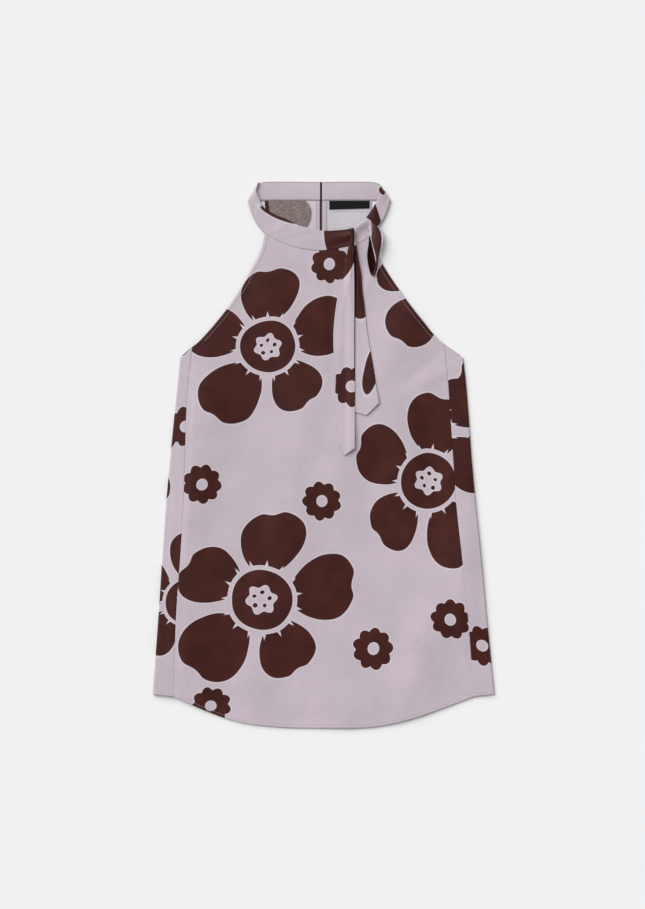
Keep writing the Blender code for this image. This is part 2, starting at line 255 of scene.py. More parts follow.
def edgedLine(even, startWidth, endWidth):  # stations close together at both edges, even between them
    inner = np.linspace(0, 1, even + 1)[1:-1]
    share = np.concatenate([np.zeros(edgeSteps), inner, np.ones(edgeSteps)])
    start = np.concatenate([edgeShape["inset"], np.full(even - 1 + edgeSteps, edgeShape["inset"][-1])])
    end = start[::-1]
    return share, (1 - share) * start * startWidth - share * end * endWidth


def edgeRise(even, startKind, endKind):
    return np.concatenate([edgeShape[startKind], np.zeros(even - 1), edgeShape[endKind][::-1]])


def together(one, other):  # the lower of two drops, or the higher of two rises
    return np.where((one < 0) | (other < 0), np.minimum(one, other), np.maximum(one, other))


def flatWall(x, y, top, under):  # the outer face, inner face and print place of cloth that lies flat
    return np.stack([x, y, top], 1), np.stack([x, y, under], 1), np.stack([x, y], 1)


def layWall(name, across, along, place, materials, hasFace=None, innerLook=None, outerLook=None):
    # A closed wall of cloth from a flat grid. place gives its outer face, inner face and print place.
    # innerLook gives the material number of the inner face at a station, and outerLook that of the
    # outer face at a station and row.
    wall = bmesh.new()
    bmesh.ops.create_grid(wall, x_segments=across, y_segments=along, size=0.5)
    if hasFace:
        gone = []
        for face in wall.faces:
            middle = face.calc_center_median()
            if not hasFace(int((middle.x + 0.5) * across), int((middle.y + 0.5) * along)):
                gone.append(face)
        bmesh.ops.delete(wall, geom=gone, context="FACES")
    drawn = bmesh.ops.extrude_face_region(wall, geom=wall.faces[:])
    outerVerts = {v for v in drawn["geom"] if isinstance(v, bmesh.types.BMVert)}
    wall.verts.index_update()
    i = np.array([round((v.co.x + 0.5) * across) for v in wall.verts])
    j = np.array([round((v.co.y + 0.5) * along) for v in wall.verts])
    isOuter = np.array([v in outerVerts for v in wall.verts])
    outer, inner, cloth = place(i, j)
    spots = np.where(isOuter[:, None], outer, inner) * mm
    for vertex, spot in zip(wall.verts, spots):
        vertex.co = spot
    cloth = cloth * mm
    layer = wall.loops.layers.uv.new("cloth")
    for face in wall.faces:
        face.smooth = True
        step = min(i[v.index] for v in face.verts)
        if any(v in outerVerts for v in face.verts):
            if outerLook:
                face.material_index = outerLook(step, min(j[v.index] for v in face.verts))
        elif len(materials) > 1:
            face.material_index = innerLook(step) if innerLook else 1
        for loop in face.loops:
            loop[layer].uv = cloth[loop.vert.index]
    bmesh.ops.recalc_face_normals(wall, faces=wall.faces[:])
    if wall.calc_volume(signed=True) < 0:  # a folded wall can come out inside out
        bmesh.ops.reverse_faces(wall, faces=wall.faces[:])
    return finishPiece(name, wall, materials)


def finishPiece(name, shape, materials, sharpAngle=70):
    mesh = bpy.data.meshes.new(name)
    shape.to_mesh(mesh)
    shape.free()
    for material in materials:
        mesh.materials.append(material)
    mesh.set_sharp_from_angle(angle=np.radians(sharpAngle))
    piece = bpy.data.objects.new(name, mesh)
    bpy.context.scene.collection.objects.link(piece)
    return piece


# Shader helpers
noiseSpread = (0.3, 0.7)  # where most values of a noise texture fall
sheenRoughness = 0.45


def calc(tree, operation, *inputs):
    node = tree.nodes.new("ShaderNodeMath")
    node.operation = operation
    for socket, value in zip(node.inputs, inputs):
        if isinstance(value, bpy.types.NodeSocket):
            tree.links.new(value, socket)
        else:
            socket.default_value = value
    return node.outputs[0]


def mapRange(tree, value, fromMin, fromMax, toMin=0.0, toMax=1.0):
    node = tree.nodes.new("ShaderNodeMapRange")
    tree.links.new(value, node.inputs["Value"])
    node.inputs["From Min"].default_value = fromMin
    node.inputs["From Max"].default_value = fromMax
    node.inputs["To Min"].default_value = toMin
    node.inputs["To Max"].default_value = toMax
    return node.outputs["Result"]


def mixColour(tree, factor, first, second):
    node = tree.nodes.new("ShaderNodeMix")
    node.data_type = "RGBA"
    for socket, value in ((node.inputs[0], factor), (node.inputs[6], first), (node.inputs[7], second)):
        if isinstance(value, bpy.types.NodeSocket):
            tree.links.new(value, socket)
        else:
            socket.default_value = value
    return node.outputs[2]


def mapped(tree, vector, location=(0, 0, 0), turn=0.0, scale=(1, 1, 1), kind="POINT"):
    node = tree.nodes.new("ShaderNodeMapping")
    node.vector_type = kind
    tree.links.new(vector, node.inputs["Vector"])
    node.inputs["Location"].default_value = location
    node.inputs["Rotation"].default_value = (0, 0, np.radians(turn))
    node.inputs["Scale"].default_value = scale
    return node.outputs[0]


def noise(tree, vector, scale, detail=2.0):
    node = tree.nodes.new("ShaderNodeTexNoise")
    tree.links.new(vector, node.inputs["Vector"])
    node.inputs["Scale"].default_value = scale
    node.inputs["Detail"].default_value = detail
    return node


def polar(tree, vector):
    parts = tree.nodes.new("ShaderNodeSeparateXYZ")
    tree.links.new(vector, parts.inputs[0])
    x, y = parts.outputs[0], parts.outputs[1]
    squares = calc(tree, "ADD", calc(tree, "MULTIPLY", x, x), calc(tree, "MULTIPLY", y, y))
    return calc(tree, "SQRT", squares), calc(tree, "ARCTAN2", y, x)


def distanceTo(tree, u, v, centreU):
    east = calc(tree, "SUBTRACT", u, centreU)
    squares = calc(tree, "ADD", calc(tree, "MULTIPLY", east, east), calc(tree, "MULTIPLY", v, v))
    return calc(tree, "SQRT", squares)


def shapeGroup(name):
    tree = bpy.data.node_groups.new(name, "ShaderNodeTree")
    tree.interface.new_socket(name="Place", in_out="INPUT", socket_type="NodeSocketVector")
    tree.interface.new_socket(name="Size", in_out="INPUT", socket_type="NodeSocketFloat")
    tree.interface.new_socket(name="Inside", in_out="OUTPUT", socket_type="NodeSocketFloat")
    given = tree.nodes.new("NodeGroupInput")
    result = tree.nodes.new("NodeGroupOutput")
    return tree, given, result


# The print's motifs, in units of a motif's own half size
bloom = {
    "petals": 5,
    "petalMiddle": 0.64,
    "petalLength": 0.36,
    "petalWidth": 0.34,
    "petalFlare": 0.24,
    "petalLeast": 0.05,
    "petalUneven": 0.11,
    "unevenTurns": 2.0,
    "unevenStart": 0.6,
    "notchPlace": 1.12,
    "notchRadius": 0.16,
    "notchBlend": 0.07,
    "petalStart": 0.385,
    "discRadius": 0.335,
    "coreRadius": 0.155,
    "coreWave": 0.02,
    "veins": 15,
    "veinWidth": 0.018,
    "veinEnd": 0.56,
    "veinEndWidth": -0.03,
    "dotPlace": 0.085,
    "dotRadius": 0.024,
}
daisy = {"lobes": 9, "lobeDepth": 0.17, "coreRadius": 0.29}


def makeBloomShape():
    tree, given, result = shapeGroup("bloomShape")
    radius, angle = polar(tree, given.outputs["Place"])
    half = np.pi / bloom["petals"]
    folded = calc(tree, "WRAP", angle, half, -half)
    uneven = calc(tree, "SINE", calc(tree, "MULTIPLY_ADD", angle, bloom["unevenTurns"], bloom["unevenStart"]))
    reach = calc(tree, "DIVIDE", radius, calc(tree, "MULTIPLY_ADD", uneven, bloom["petalUneven"], 1.0))
    u = calc(tree, "MULTIPLY", reach, calc(tree, "COSINE", folded))
    v = calc(tree, "MULTIPLY", reach, calc(tree, "SINE", folded))
    along = calc(tree, "DIVIDE", calc(tree, "SUBTRACT", u, bloom["petalMiddle"]), bloom["petalLength"])
    width = bloom["petalWidth"]
    flare = calc(tree, "MULTIPLY_ADD", along, bloom["petalFlare"] * width, width)
    across = calc(tree, "DIVIDE", v, calc(tree, "MAXIMUM", flare, bloom["petalLeast"]))
    oval = calc(tree, "SQRT", calc(tree, "ADD", calc(tree, "MULTIPLY", along, along),
                                   calc(tree, "MULTIPLY", across, across)))
    petal = calc(tree, "MULTIPLY", calc(tree, "SUBTRACT", 1.0, oval), width)
    notch = calc(tree, "SUBTRACT", distanceTo(tree, u, v, bloom["notchPlace"]), bloom["notchRadius"])
    petal = calc(tree, "SMOOTH_MIN", petal, notch, bloom["notchBlend"])
    petal = calc(tree, "MINIMUM", petal, calc(tree, "SUBTRACT", radius, bloom["petalStart"]))
    veinHalf = np.pi / bloom["veins"]
    veinAngle = calc(tree, "WRAP", angle, veinHalf, -veinHalf)
    toVein = calc(tree, "ABSOLUTE", calc(tree, "MULTIPLY", radius, calc(tree, "SINE", veinAngle)))
    veinHalfWidth = mapRange(
        tree, radius, bloom["petalStart"], bloom["veinEnd"], bloom["veinWidth"], bloom["veinEndWidth"])
    petal = calc(tree, "MINIMUM", petal, calc(tree, "SUBTRACT", toVein, veinHalfWidth))
    disc = calc(tree, "SUBTRACT", bloom["discRadius"], radius)
    coreWave = calc(tree, "COSINE", calc(tree, "MULTIPLY", angle, bloom["petals"] + 1.0))
    coreEdge = calc(tree, "MULTIPLY_ADD", coreWave, bloom["coreWave"], bloom["coreRadius"])
    disc = calc(tree, "MINIMUM", disc, calc(tree, "SUBTRACT", radius, coreEdge))
    dots = calc(tree, "SUBTRACT", bloom["dotRadius"], distanceTo(tree, u, v, bloom["dotPlace"]))
    inside = calc(tree, "MAXIMUM", calc(tree, "MAXIMUM", petal, disc), dots)
    tree.links.new(calc(tree, "MULTIPLY", inside, given.outputs["Size"]), result.inputs["Inside"])
    return tree


def makeDaisyShape():
    tree, given, result = shapeGroup("daisyShape")
    radius, angle = polar(tree, given.outputs["Place"])
    wave = calc(tree, "ABSOLUTE", calc(tree, "SINE", calc(tree, "MULTIPLY", angle, daisy["lobes"] / 2)))
    edge = calc(tree, "MULTIPLY_ADD", wave, daisy["lobeDepth"], 1 - daisy["lobeDepth"])
    petals = calc(tree, "SUBTRACT", edge, radius)
    inside = calc(tree, "MINIMUM", petals, calc(tree, "SUBTRACT", radius, daisy["coreRadius"]))
    tree.links.new(calc(tree, "MULTIPLY", inside, given.outputs["Size"]), result.inputs["Inside"])
    return tree


def makePatchShape():  # a plain rounded petal, cut by the edge of a narrow piece
    tree, given, result = shapeGroup("patchShape")
    radius = polar(tree, given.outputs["Place"])[0]
    inside = calc(tree, "SUBTRACT", 1.0, radius)
    tree.links.new(calc(tree, "MULTIPLY", inside, given.outputs["Size"]), result.inputs["Inside"])
    return tree


shapes = {"bloom": makeBloomShape(), "daisy": makeDaisyShape(), "patch": makePatchShape()}

satin = {
    "lilac": (0.484, 0.415, 0.466, 1),
    "halo": (0.61, 0.55, 0.60, 1),
    "brown": (0.035, 0.0056, 0.0040, 1),
    "paleBrown": (0.055, 0.0100, 0.0070, 1),
    "brownScale": 0.035,
    # a near-black brown: painted shade, for the loop's hollow, the opening's edge and the line beside the
    # long tail
    "paintedShadeBrown": (0.012, 0.0020, 0.0016, 1),
    "wrongLilac": (0.520, 0.490, 0.525, 1),
    "wrongBrown": (0.115, 0.083, 0.078, 1),
    "wrongPale": (0.270, 0.220, 0.210, 1),
    "streak": (0.16, 0.95, 1),
    "streakTurn": -14,
    "streakFrom": 0.36,
    "streakTo": 0.64,
    "roughness": 0.46,
    "sheen": 0.035,
    "specular": 0.18,
    # less sheen and gloss on the near-black painted shade
    "hollowGloss": 0.25,
    "warp": 9.0,
    "warpScale": 0.012,
    "printEdge": 0.4,
    "wrongBlur": 2,
    "haloStart": 1.5,
    "haloReach": 1.7,
    "haloShare": 0.9,
}
# The weave, its slubs, and the tone and bump that they give each side or kind of the cloth
weave = {
    "yarn": 0.45,
    "weftRate": 0.8,
    "slubFine": 0.62,
    "slubLong": 0.07,
    "slubLow": 0.6,
    "slubHigh": 1.4,
    "slubShare": 0.7,
    "broadScale": 0.018,
    "broadTone": 0.04,
    "roughnessRange": 0.05,
    "bumpStrength": 0.6,
    "grain": {"right": 0.06, "wrong": 0.11, "plain": 0.05, "lilac": 0.03},
    "depth": {"right": 0.06, "wrong": 0.12, "plain": 0.05},
}


def shaderOf(name, roughness, sheen, specular=0.4):
    material = bpy.data.materials.new(name)
    material.use_nodes = True
    shader = material.node_tree.nodes["Principled BSDF"]
    shader.inputs["Roughness"].default_value = roughness
    shader.inputs["Sheen Weight"].default_value = sheen
    shader.inputs["Sheen Roughness"].default_value = sheenRoughness
    shader.inputs["Specular IOR Level"].default_value = specular
    return material, material.node_tree, shader


def addBump(tree, shader, height, strength, depth):
    bump = tree.nodes.new("ShaderNodeBump")
    bump.inputs["Strength"].default_value = strength
    bump.inputs["Distance"].default_value = depth * mm
    tree.links.new(height, bump.inputs["Height"])
    tree.links.new(bump.outputs[0], shader.inputs["Normal"])


def clothPlace(tree):  # the place on the cloth, in millimetres
    source = tree.nodes.new("ShaderNodeUVMap")
    source.uv_map = "cloth"
    return mapped(tree, source.outputs[0], scale=(1000, 1000, 1000))


def weaveHeight(tree, place, period):  # fine crossed yarns, as a height from 0 to 1
    parts = tree.nodes.new("ShaderNodeSeparateXYZ")
    tree.links.new(place, parts.inputs[0])
    rate = 2 * np.pi / period
    warp = calc(tree, "SINE", calc(tree, "MULTIPLY", parts.outputs[0], rate))
    weft = calc(tree, "SINE", calc(tree, "MULTIPLY", parts.outputs[1], rate * weave["weftRate"]))
    return calc(tree, "MULTIPLY_ADD", calc(tree, "ADD", warp, weft), 0.25, 0.5)


def weaveFinish(tree, shader, place, colour, grain, bumpDepth):
    # Slubs along and across, broad unevenness of tone, and the bump of the yarns
    fine, long, low, high = weave["slubFine"], weave["slubLong"], weave["slubLow"], weave["slubHigh"]
    slubAlong = noise(tree, mapped(tree, place, scale=(fine, long, 1)), 1.0, 3.0).outputs[0]
    slubAcross = noise(tree, mapped(tree, place, scale=(long, fine, 1)), 1.0, 3.0).outputs[0]
    slubs = calc(tree, "ADD", slubAlong, slubAcross)
    tone = mapRange(tree, slubs, low, high, 1 - grain, 1 + grain)
    broad = noise(tree, place, weave["broadScale"], 1.0).outputs[0]
    uneven = mapRange(tree, broad, *noiseSpread, 1 - weave["broadTone"], 1 + weave["broadTone"])
    tone = calc(tree, "MULTIPLY", tone, uneven)
    scaled = tree.nodes.new("ShaderNodeVectorMath")
    scaled.operation = "SCALE"
    if isinstance(colour, bpy.types.NodeSocket):
        tree.links.new(colour, scaled.inputs[0])
    else:
        scaled.inputs[0].default_value = colour[:3]
    tree.links.new(tone, scaled.inputs["Scale"])
    tree.links.new(scaled.outputs[0], shader.inputs["Base Color"])
    rough, either = satin["roughness"], weave["roughnessRange"]
    roughness = mapRange(tree, slubs, low, high, rough + either, rough - either)
    tree.links.new(roughness, shader.inputs["Roughness"])
    height = calc(tree, "MULTIPLY_ADD", slubs, weave["slubShare"], weaveHeight(tree, place, weave["yarn"]))
    addBump(tree, shader, height, weave["bumpStrength"], bumpDepth)


def satinShader(name, gloss):
    return shaderOf(name, satin["roughness"], gloss * satin["sheen"], gloss * satin["specular"])


def printedSatin(name, motifs, wrongSide=False, ink=None, gloss=1.0):
    material, tree, shader = satinShader(name, gloss)
    place = clothPlace(tree)
    drift = noise(tree, place, satin["warpScale"], 2.0)
    away = tree.nodes.new("ShaderNodeVectorMath")
    away.operation = "MULTIPLY_ADD"
    tree.links.new(drift.outputs["Color"], away.inputs[0])
    away.inputs[1].default_value = (satin["warp"],) * 3
    away.inputs[2].default_value = (-satin["warp"] / 2,) * 3
    bent = tree.nodes.new("ShaderNodeVectorMath")
    bent.operation = "ADD"
    tree.links.new(place, bent.inputs[0])
    tree.links.new(away.outputs[0], bent.inputs[1])
    inside = None
    for kind, x, y, turn, width, height in motifs:
        motif = tree.nodes.new("ShaderNodeGroup")
        motif.node_tree = shapes[kind]
        local = mapped(tree, bent.outputs[0], (x, y, 0), turn, (width, height, 1), "TEXTURE")
        tree.links.new(local, motif.inputs["Place"])
        motif.inputs["Size"].default_value = min(width, height)
        found = motif.outputs["Inside"]
        inside = calc(tree, "MAXIMUM", inside, found) if inside else found
    side = "wrong" if wrongSide else "right"
    ground = satin["wrongLilac"] if wrongSide else satin["lilac"]
    if wrongSide:
        streaked = mapped(tree, place, turn=satin["streakTurn"], scale=satin["streak"])
        streaks = noise(tree, streaked, 1.0, 4.0).outputs[0]
        through = mapRange(tree, streaks, satin["streakFrom"], satin["streakTo"])
        ink = mixColour(tree, through, satin["wrongBrown"], satin["wrongPale"])
    elif not ink:
        mottle = noise(tree, place, satin["brownScale"], 3.0).outputs[0]
        ink = mixColour(tree, mapRange(tree, mottle, *noiseSpread), satin["brown"], satin["paleBrown"])
    edge = satin["printEdge"] * (satin["wrongBlur"] if wrongSide else 1)
    if not wrongSide:
        haloEdge = -satin["haloStart"] * edge
        haloShare = mapRange(tree, inside, -satin["haloReach"], haloEdge, 0.0, satin["haloShare"])
        ground = mixColour(tree, haloShare, ground, satin["halo"])
    colour = mixColour(tree, mapRange(tree, inside, -edge, edge), ground, ink)
    weaveFinish(tree, shader, place, colour, weave["grain"][side], weave["depth"][side])
    return material


def plainSatin(name, colour, kind="plain", gloss=1.0):
    material, tree, shader = satinShader(name, gloss)
    weaveFinish(tree, shader, clothPlace(tree), colour, weave["grain"][kind], weave["depth"]["plain"])
    return material


# Where the motifs fall on each piece's cloth: kind, x, y, turn in degrees and the two half sizes
frontMotifs = [
    ("bloom", -84, -196, 10, 122, 122),
    ("bloom", 142, -36, 82, 112, 108),
    ("bloom", -76, 146, 18, 112, 106),
    ("bloom", 158, 236, 20, 92, 92),
    ("daisy", -2, -62, 0, 27, 26),
    ("daisy", -164, -40, 15, 26, 27),
    ("daisy", 66, -262, 22, 28, 28),
    ("daisy", -152, -338, 5, 27, 26),
    ("daisy", 8, 258, 12, 26, 26),
    ("daisy", 172, -222, 30, 27, 28),
]
backMotifs = [
    ("bloom", -262, -196, 20, 92, 92),
    ("bloom", 262, 40, 8, 104, 104),
    ("bloom", -78, 238, 6, 116, 116),
    ("bloom", 64, -190, 12, 124, 124),
    ("bloom", 120, 40, 40, 104, 104),
    ("bloom", -130, -20, 64, 104, 104),
    ("daisy", -222, 40, 10, 26, 27),
    ("daisy", 236, -258, 20, 27, 27),
    ("daisy", -40, -330, 12, 27, 27),
]
bandMotifs = [
    ("patch", 21.5, 292, 8, 20.5, 44),
    ("patch", -58, 324, -24, 30, 6),
    ("patch", 80, 357, 30, 4, 6),
]
longTailMotifs = [
    ("patch", 10, 292, 0, 36, 62),
    ("daisy", 38, 92, 10, 26, 28),
]
shortTailMotifs = [
    ("patch", 49, 234, 0, 22, 50),
    ("patch", 64, 114, -10, 10, 34),
]
loopMotifs = [
    ("patch", 5.4, 34, 0, 6.0, 84),
]
# The inside of the loop: the brown of the print there is darkened to near black, painted shade of the hollow
loopInsidePaintedShadeMotifs = [
    ("patch", 6.4, 92, 0, 6.6, 36),
]

frontSatin = printedSatin("frontSatin", frontMotifs)
frontWrongSide = printedSatin("frontWrongSide", frontMotifs, wrongSide=True)
backSatin = printedSatin("backSatin", backMotifs)
backWrongSide = printedSatin("backWrongSide", backMotifs, wrongSide=True)
bandSatin = printedSatin("bandSatin", bandMotifs)
longTailSatin = printedSatin("longTailSatin", longTailMotifs)
shortTailSatin = printedSatin("shortTailSatin", shortTailMotifs)
loopSatin = printedSatin("loopSatin", loopMotifs)
# The loop's inner face: lilac with a near-black patch, painted shade of the hollow over the print's brown
loopInsidePaintedShade = printedSatin(
    "loopInsidePaintedShade", loopInsidePaintedShadeMotifs, ink=satin["paintedShadeBrown"], gloss=satin["hollowGloss"])
brownSatin = plainSatin("brownSatin", satin["brown"])
# a plain near-black satin: painted shade, for the opening's edge and the line beside the long tail
paintedShadeSatin = plainSatin("paintedShadeSatin", satin["paintedShadeBrown"], gloss=satin["hollowGloss"])
lilacSatin = plainSatin("lilacSatin", satin["lilac"], "lilac")
print("materials of the cloth made")


# Stitches: one mesh of little beads of thread for each sewn piece
stitch = {
    "pitch": 2.6,
    "length": 2.25,
    "width": 0.62,
    "twistScale": 2600.0,
    "twistSpread": (0.35, 0.65),
    "roughness": 0.6,
    "sheen": 0.2,
    "pale": ((0.33, 0.27, 0.31, 1), (0.44, 0.37, 0.42, 1)),
    # a dark thread: painted shade of the needle holes in the rows on the band and the opening
    "stitchShade": ((0.09, 0.06, 0.075, 1), (0.14, 0.10, 0.12, 1)),
}


def makeThread(name, darker, lighter):
    material, tree, shader = shaderOf(name, stitch["roughness"], stitch["sheen"])
    coordinates = tree.nodes.new("ShaderNodeTexCoord")
    twist = noise(tree, coordinates.outputs["Object"], stitch["twistScale"], 1.0).outputs[0]
    colour = mixColour(tree, mapRange(tree, twist, *stitch["twistSpread"]), darker, lighter)
    tree.links.new(colour, shader.inputs["Base Color"])
    return material


paleThread = makeThread("paleThread", *stitch["pale"])
# thread darkened to paint the shade of its needle holes
stitchShadeThread = makeThread("stitchShadeThread", *stitch["stitchShade"])


def sewRow(thread, line, lift=0.0):
    steps = np.linalg.norm(np.diff(line, axis=0), axis=1)
    run = np.concatenate([[0], np.cumsum(steps)])

    def at(distance):
        return Vector([np.interp(distance, run, line[:, k]) for k in range(3)])

    size = Matrix.Diagonal((stitch["length"] / 2, stitch["width"] / 2, stitch["width"] / 2, 1))
    for middle in np.arange(stitch["pitch"], run[-1] - stitch["pitch"] / 2, stitch["pitch"]):
        heading = at(middle + 0.5) - at(middle - 0.5)
        turn = heading.to_track_quat("X", "Z").to_matrix().to_4x4()
        spot = Matrix.Translation((at(middle) + Vector((0, 0, lift))) * mm)
        bmesh.ops.create_icosphere(
            thread, subdivisions=1, radius=1, matrix=spot @ turn @ Matrix.Scale(mm, 4) @ size)


def finishStitches(name, thread, material):
    for face in thread.faces:
        face.smooth = True
    return finishPiece(name, thread, [material], 180)


# The front panel
front = {
    "across": 104,
    "rows": 160,
    "bodyShare": 0.75,
    "hemWidth": 4.6,
    "armholeWidth": 7.4,
    "neckWidth": 3.0,
    "stitchClear": 2,
    "neckPoints": 400,
}
frontBand = columnsOf("outerX outerY innerX innerY under", [
    (-103.1, 342.6, -88.9, 368.3, 2.4),
    (-99.4, 331.4, -90.6, 357.6, 2.4),
    (-94.3, 318.7, -86.3, 344.2, 2.4),
    (-87.3, 308.0, -79.8, 333.4, 2.0),
    (-76.0, 297.0, -66.5, 325.0, 1.6),
    (-58.6, 287.9, -50.0, 318.0, 1.6),
    (-40.5, 281.0, -34.0, 310.0, 1.6),
    (-22.0, 277.2, -18.4, 306.2, 1.6),
    (-3.0, 275.9, -2.5, 302.8, 1.6),
    (15.0, 278.0, 17.5, 303.2, 1.6),
    (33.0, 281.6, 36.9, 305.6, 1.6),
    (48.0, 286.1, 47.5, 312.0, 1.6),
    (60.1, 294.0, 56.5, 320.3, 1.6),
    (70.0, 304.3, 64.3, 330.3, 1.8),
    (78.6, 314.8, 70.0, 338.8, 2.2),
    (85.3, 328.3, 74.2, 349.0, 2.4),
    (90.9, 343.4, 81.4, 357.4, 2.4),
])
bandOrder = np.arange(len(frontBand["under"]), dtype=float)
bandFine = np.linspace(0, bandOrder[-1], front["neckPoints"])
bandEdgeX = curveAt(bandOrder, frontBand["outerX"], bandFine)
bandEdgeY = curveAt(bandOrder, frontBand["outerY"], bandFine)


def neckDip(across):
    leftX = read(armholeLines, "left", garment["neckEnd"]["left"])
    x = mix(leftX, read(armholeLines, "right", garment["neckEnd"]["right"]), across)
    chord = mix(garment["neckEnd"]["left"], garment["neckEnd"]["right"], across)
    return chord - np.interp(x, bandEdgeX, bandEdgeY) + garment["neckGap"]


frontAcross, frontAcrossShift = edgedLine(front["across"], front["armholeWidth"], front["armholeWidth"])
frontUp, frontUpShift = edgedLine(front["rows"], front["hemWidth"], front["neckWidth"])
frontSeamRise = edgeRise(front["across"], "seam", "seam")
frontHoleRise = edgeRise(front["across"], "hem", "hem")
frontRowRise = edgeRise(front["rows"], "hem", "seam")


def placeFront(i, j):
    across, up = frontAcross[i], frontUp[j]
    seamTop, neckEnd, gap = garment["seamTop"], garment["neckEnd"], garment["seamGap"]
    inBody = up <= front["bodyShare"]
    low = np.clip(up / front["bodyShare"], 0, 1)
    high = np.clip((up - front["bodyShare"]) / (1 - front["bodyShare"]), 0, 1)
    edgeX, edgeY = {}, {}
    for side, inward in (("left", 1), ("right", -1)):
        bodyY = mix(garment["hemAtSeam"], seamTop[side], low)
        sideY = np.where(inBody, bodyY, mix(seamTop[side], neckEnd[side], high))
        seam = read(bodyLines, side + "Seam", sideY) + inward * gap / 2
        edgeX[side] = np.where(inBody, seam, read(armholeLines, side, sideY))
        edgeY[side] = sideY
    x = mix(edgeX["left"], edgeX["right"], across) + frontAcrossShift[i]
    y = mix(edgeY["left"], edgeY["right"], across)
    y = y + np.where(inBody, hemDrop(x) * (1 - low) ** 2, -neckDip(across) * high**2) + frontUpShift[j]
    fromSeam = np.minimum(x - edgeX["left"], edgeX["right"] - x)
    sideRise = np.where(inBody, frontSeamRise[i] + puckerHeight(fromSeam, y), frontHoleRise[i])
    rise = together(sideRise, frontRowRise[j])
    under = layerUnder(x, y)
    top = under + garment["panelWall"] + rise + creaseHeight(fineCreases, x, y, garment["panelWall"])
    return flatWall(x, y, top, under)


def makeFront():
    across = len(frontAcross) - 1
    along = len(frontUp) - 1
    cloth = layWall("frontCloth", across, along, placeFront, [frontSatin, frontWrongSide])
    thread = bmesh.new()
    clear = front["stitchClear"]
    holeRows = np.arange(edgeSteps + round(front["rows"] * front["bodyShare"]) + 1, along - 1 - clear)
    for station in (stitchStop, across - stitchStop):
        sewRow(thread, placeFront(np.full(len(holeRows), station), holeRows)[0])
    stations = np.arange(clear, across + 1 - clear)
    sewRow(thread, placeFront(stations, np.full(len(stations), stitchStop))[0])
    return cloth, finishStitches("frontStitches", thread, paleThread)


# The back panel: a flat back, a fold at each side and a return over the top to each seam
back = {
    "slitX": -3.5,
    "slitWidth": 2.0,
    "slitEnd": 212.0,
    "halfSteps": 40,
    "foldSteps": 12,
    "returnSteps": 8,
    "rows": 200,
    "bodyShare": 0.69,
    "hemWidth": 4.6,
    "edgeWidth": 5.4,
    "rimShare": 0.6,
    "returnTopDrop": -0.5,
    "insideRow": (10.0, 60.0, 328.4),
    "insidePoints": 20,
}


def backStations():
    # The stations from the left seam round to the right one: the zone of each, its share of that
    # zone, its shift, and the rises of its outer face at a seam and at an armhole
    zone, share, shift, seamRise, holeRise = [], [], [], [], []

    def add(name, shares, shifts=0.0, seam=0.0, hole=0.0):
        count = len(shares)
        zone.extend([name] * count)
        share.extend(shares)
        shift.extend(np.broadcast_to(shifts, count))
        seamRise.extend(np.broadcast_to(seam, count))
        holeRise.extend(np.broadcast_to(hole, count))

    insets = edgeShape["inset"] * back["edgeWidth"]
    returned = np.linspace(0, 1, back["returnSteps"] + 1)
    turned = np.linspace(0, 1, back["foldSteps"] + 1)[1:-1]
    half, halfShift = edgedLine(back["halfSteps"], back["edgeWidth"], back["edgeWidth"])
    holeLeft = edgeRise(back["halfSteps"], "hem", "seam")
    holeRight = edgeRise(back["halfSteps"], "seam", "hem")
    add("leftReturn", np.zeros(edgeSteps), insets, edgeShape["seam"])
    add("leftReturn", returned[1:], insets[-1])
    add("leftFold", turned)
    add("leftBack", half, halfShift, 0.0, holeLeft)
    add("rightBack", half, halfShift, 0.0, holeRight)
    add("rightFold", 1 - turned)
    add("rightReturn", returned[:0:-1], insets[-1])
    add("rightReturn", np.zeros(edgeSteps), insets[::-1], edgeShape["seam"][::-1])
    return np.array(zone), np.array(share), np.array(shift), np.array(seamRise), np.array(holeRise)


backZone, backShare, backShift, backSeamRise, backHoleRise = backStations()
backUp, backUpShift = edgedLine(back["rows"], back["hemWidth"], back["hemWidth"])
backRowRise = edgeRise(back["rows"], "hem", "round")
backBodyRow = edgeSteps - 1 + round(back["rows"] * back["bodyShare"])
slitShare = (back["slitEnd"] - garment["underarm"]) / (garment["backNeck"] - garment["underarm"])
backSlitRow = edgeSteps - 1 + round(back["rows"] * mix(back["bodyShare"], 1, slitShare))
backStart = int(np.argmax(backZone == "leftBack"))
backSlit = int(np.argmax(backZone == "rightBack")) - 1
backEnd = int(np.argmax(backZone == "rightFold")) - 1


def backHasFace(step, row):
    if row < backBodyRow:
        return True
    return backStart <= step < backEnd and not (step == backSlit and row >= backSlitRow)


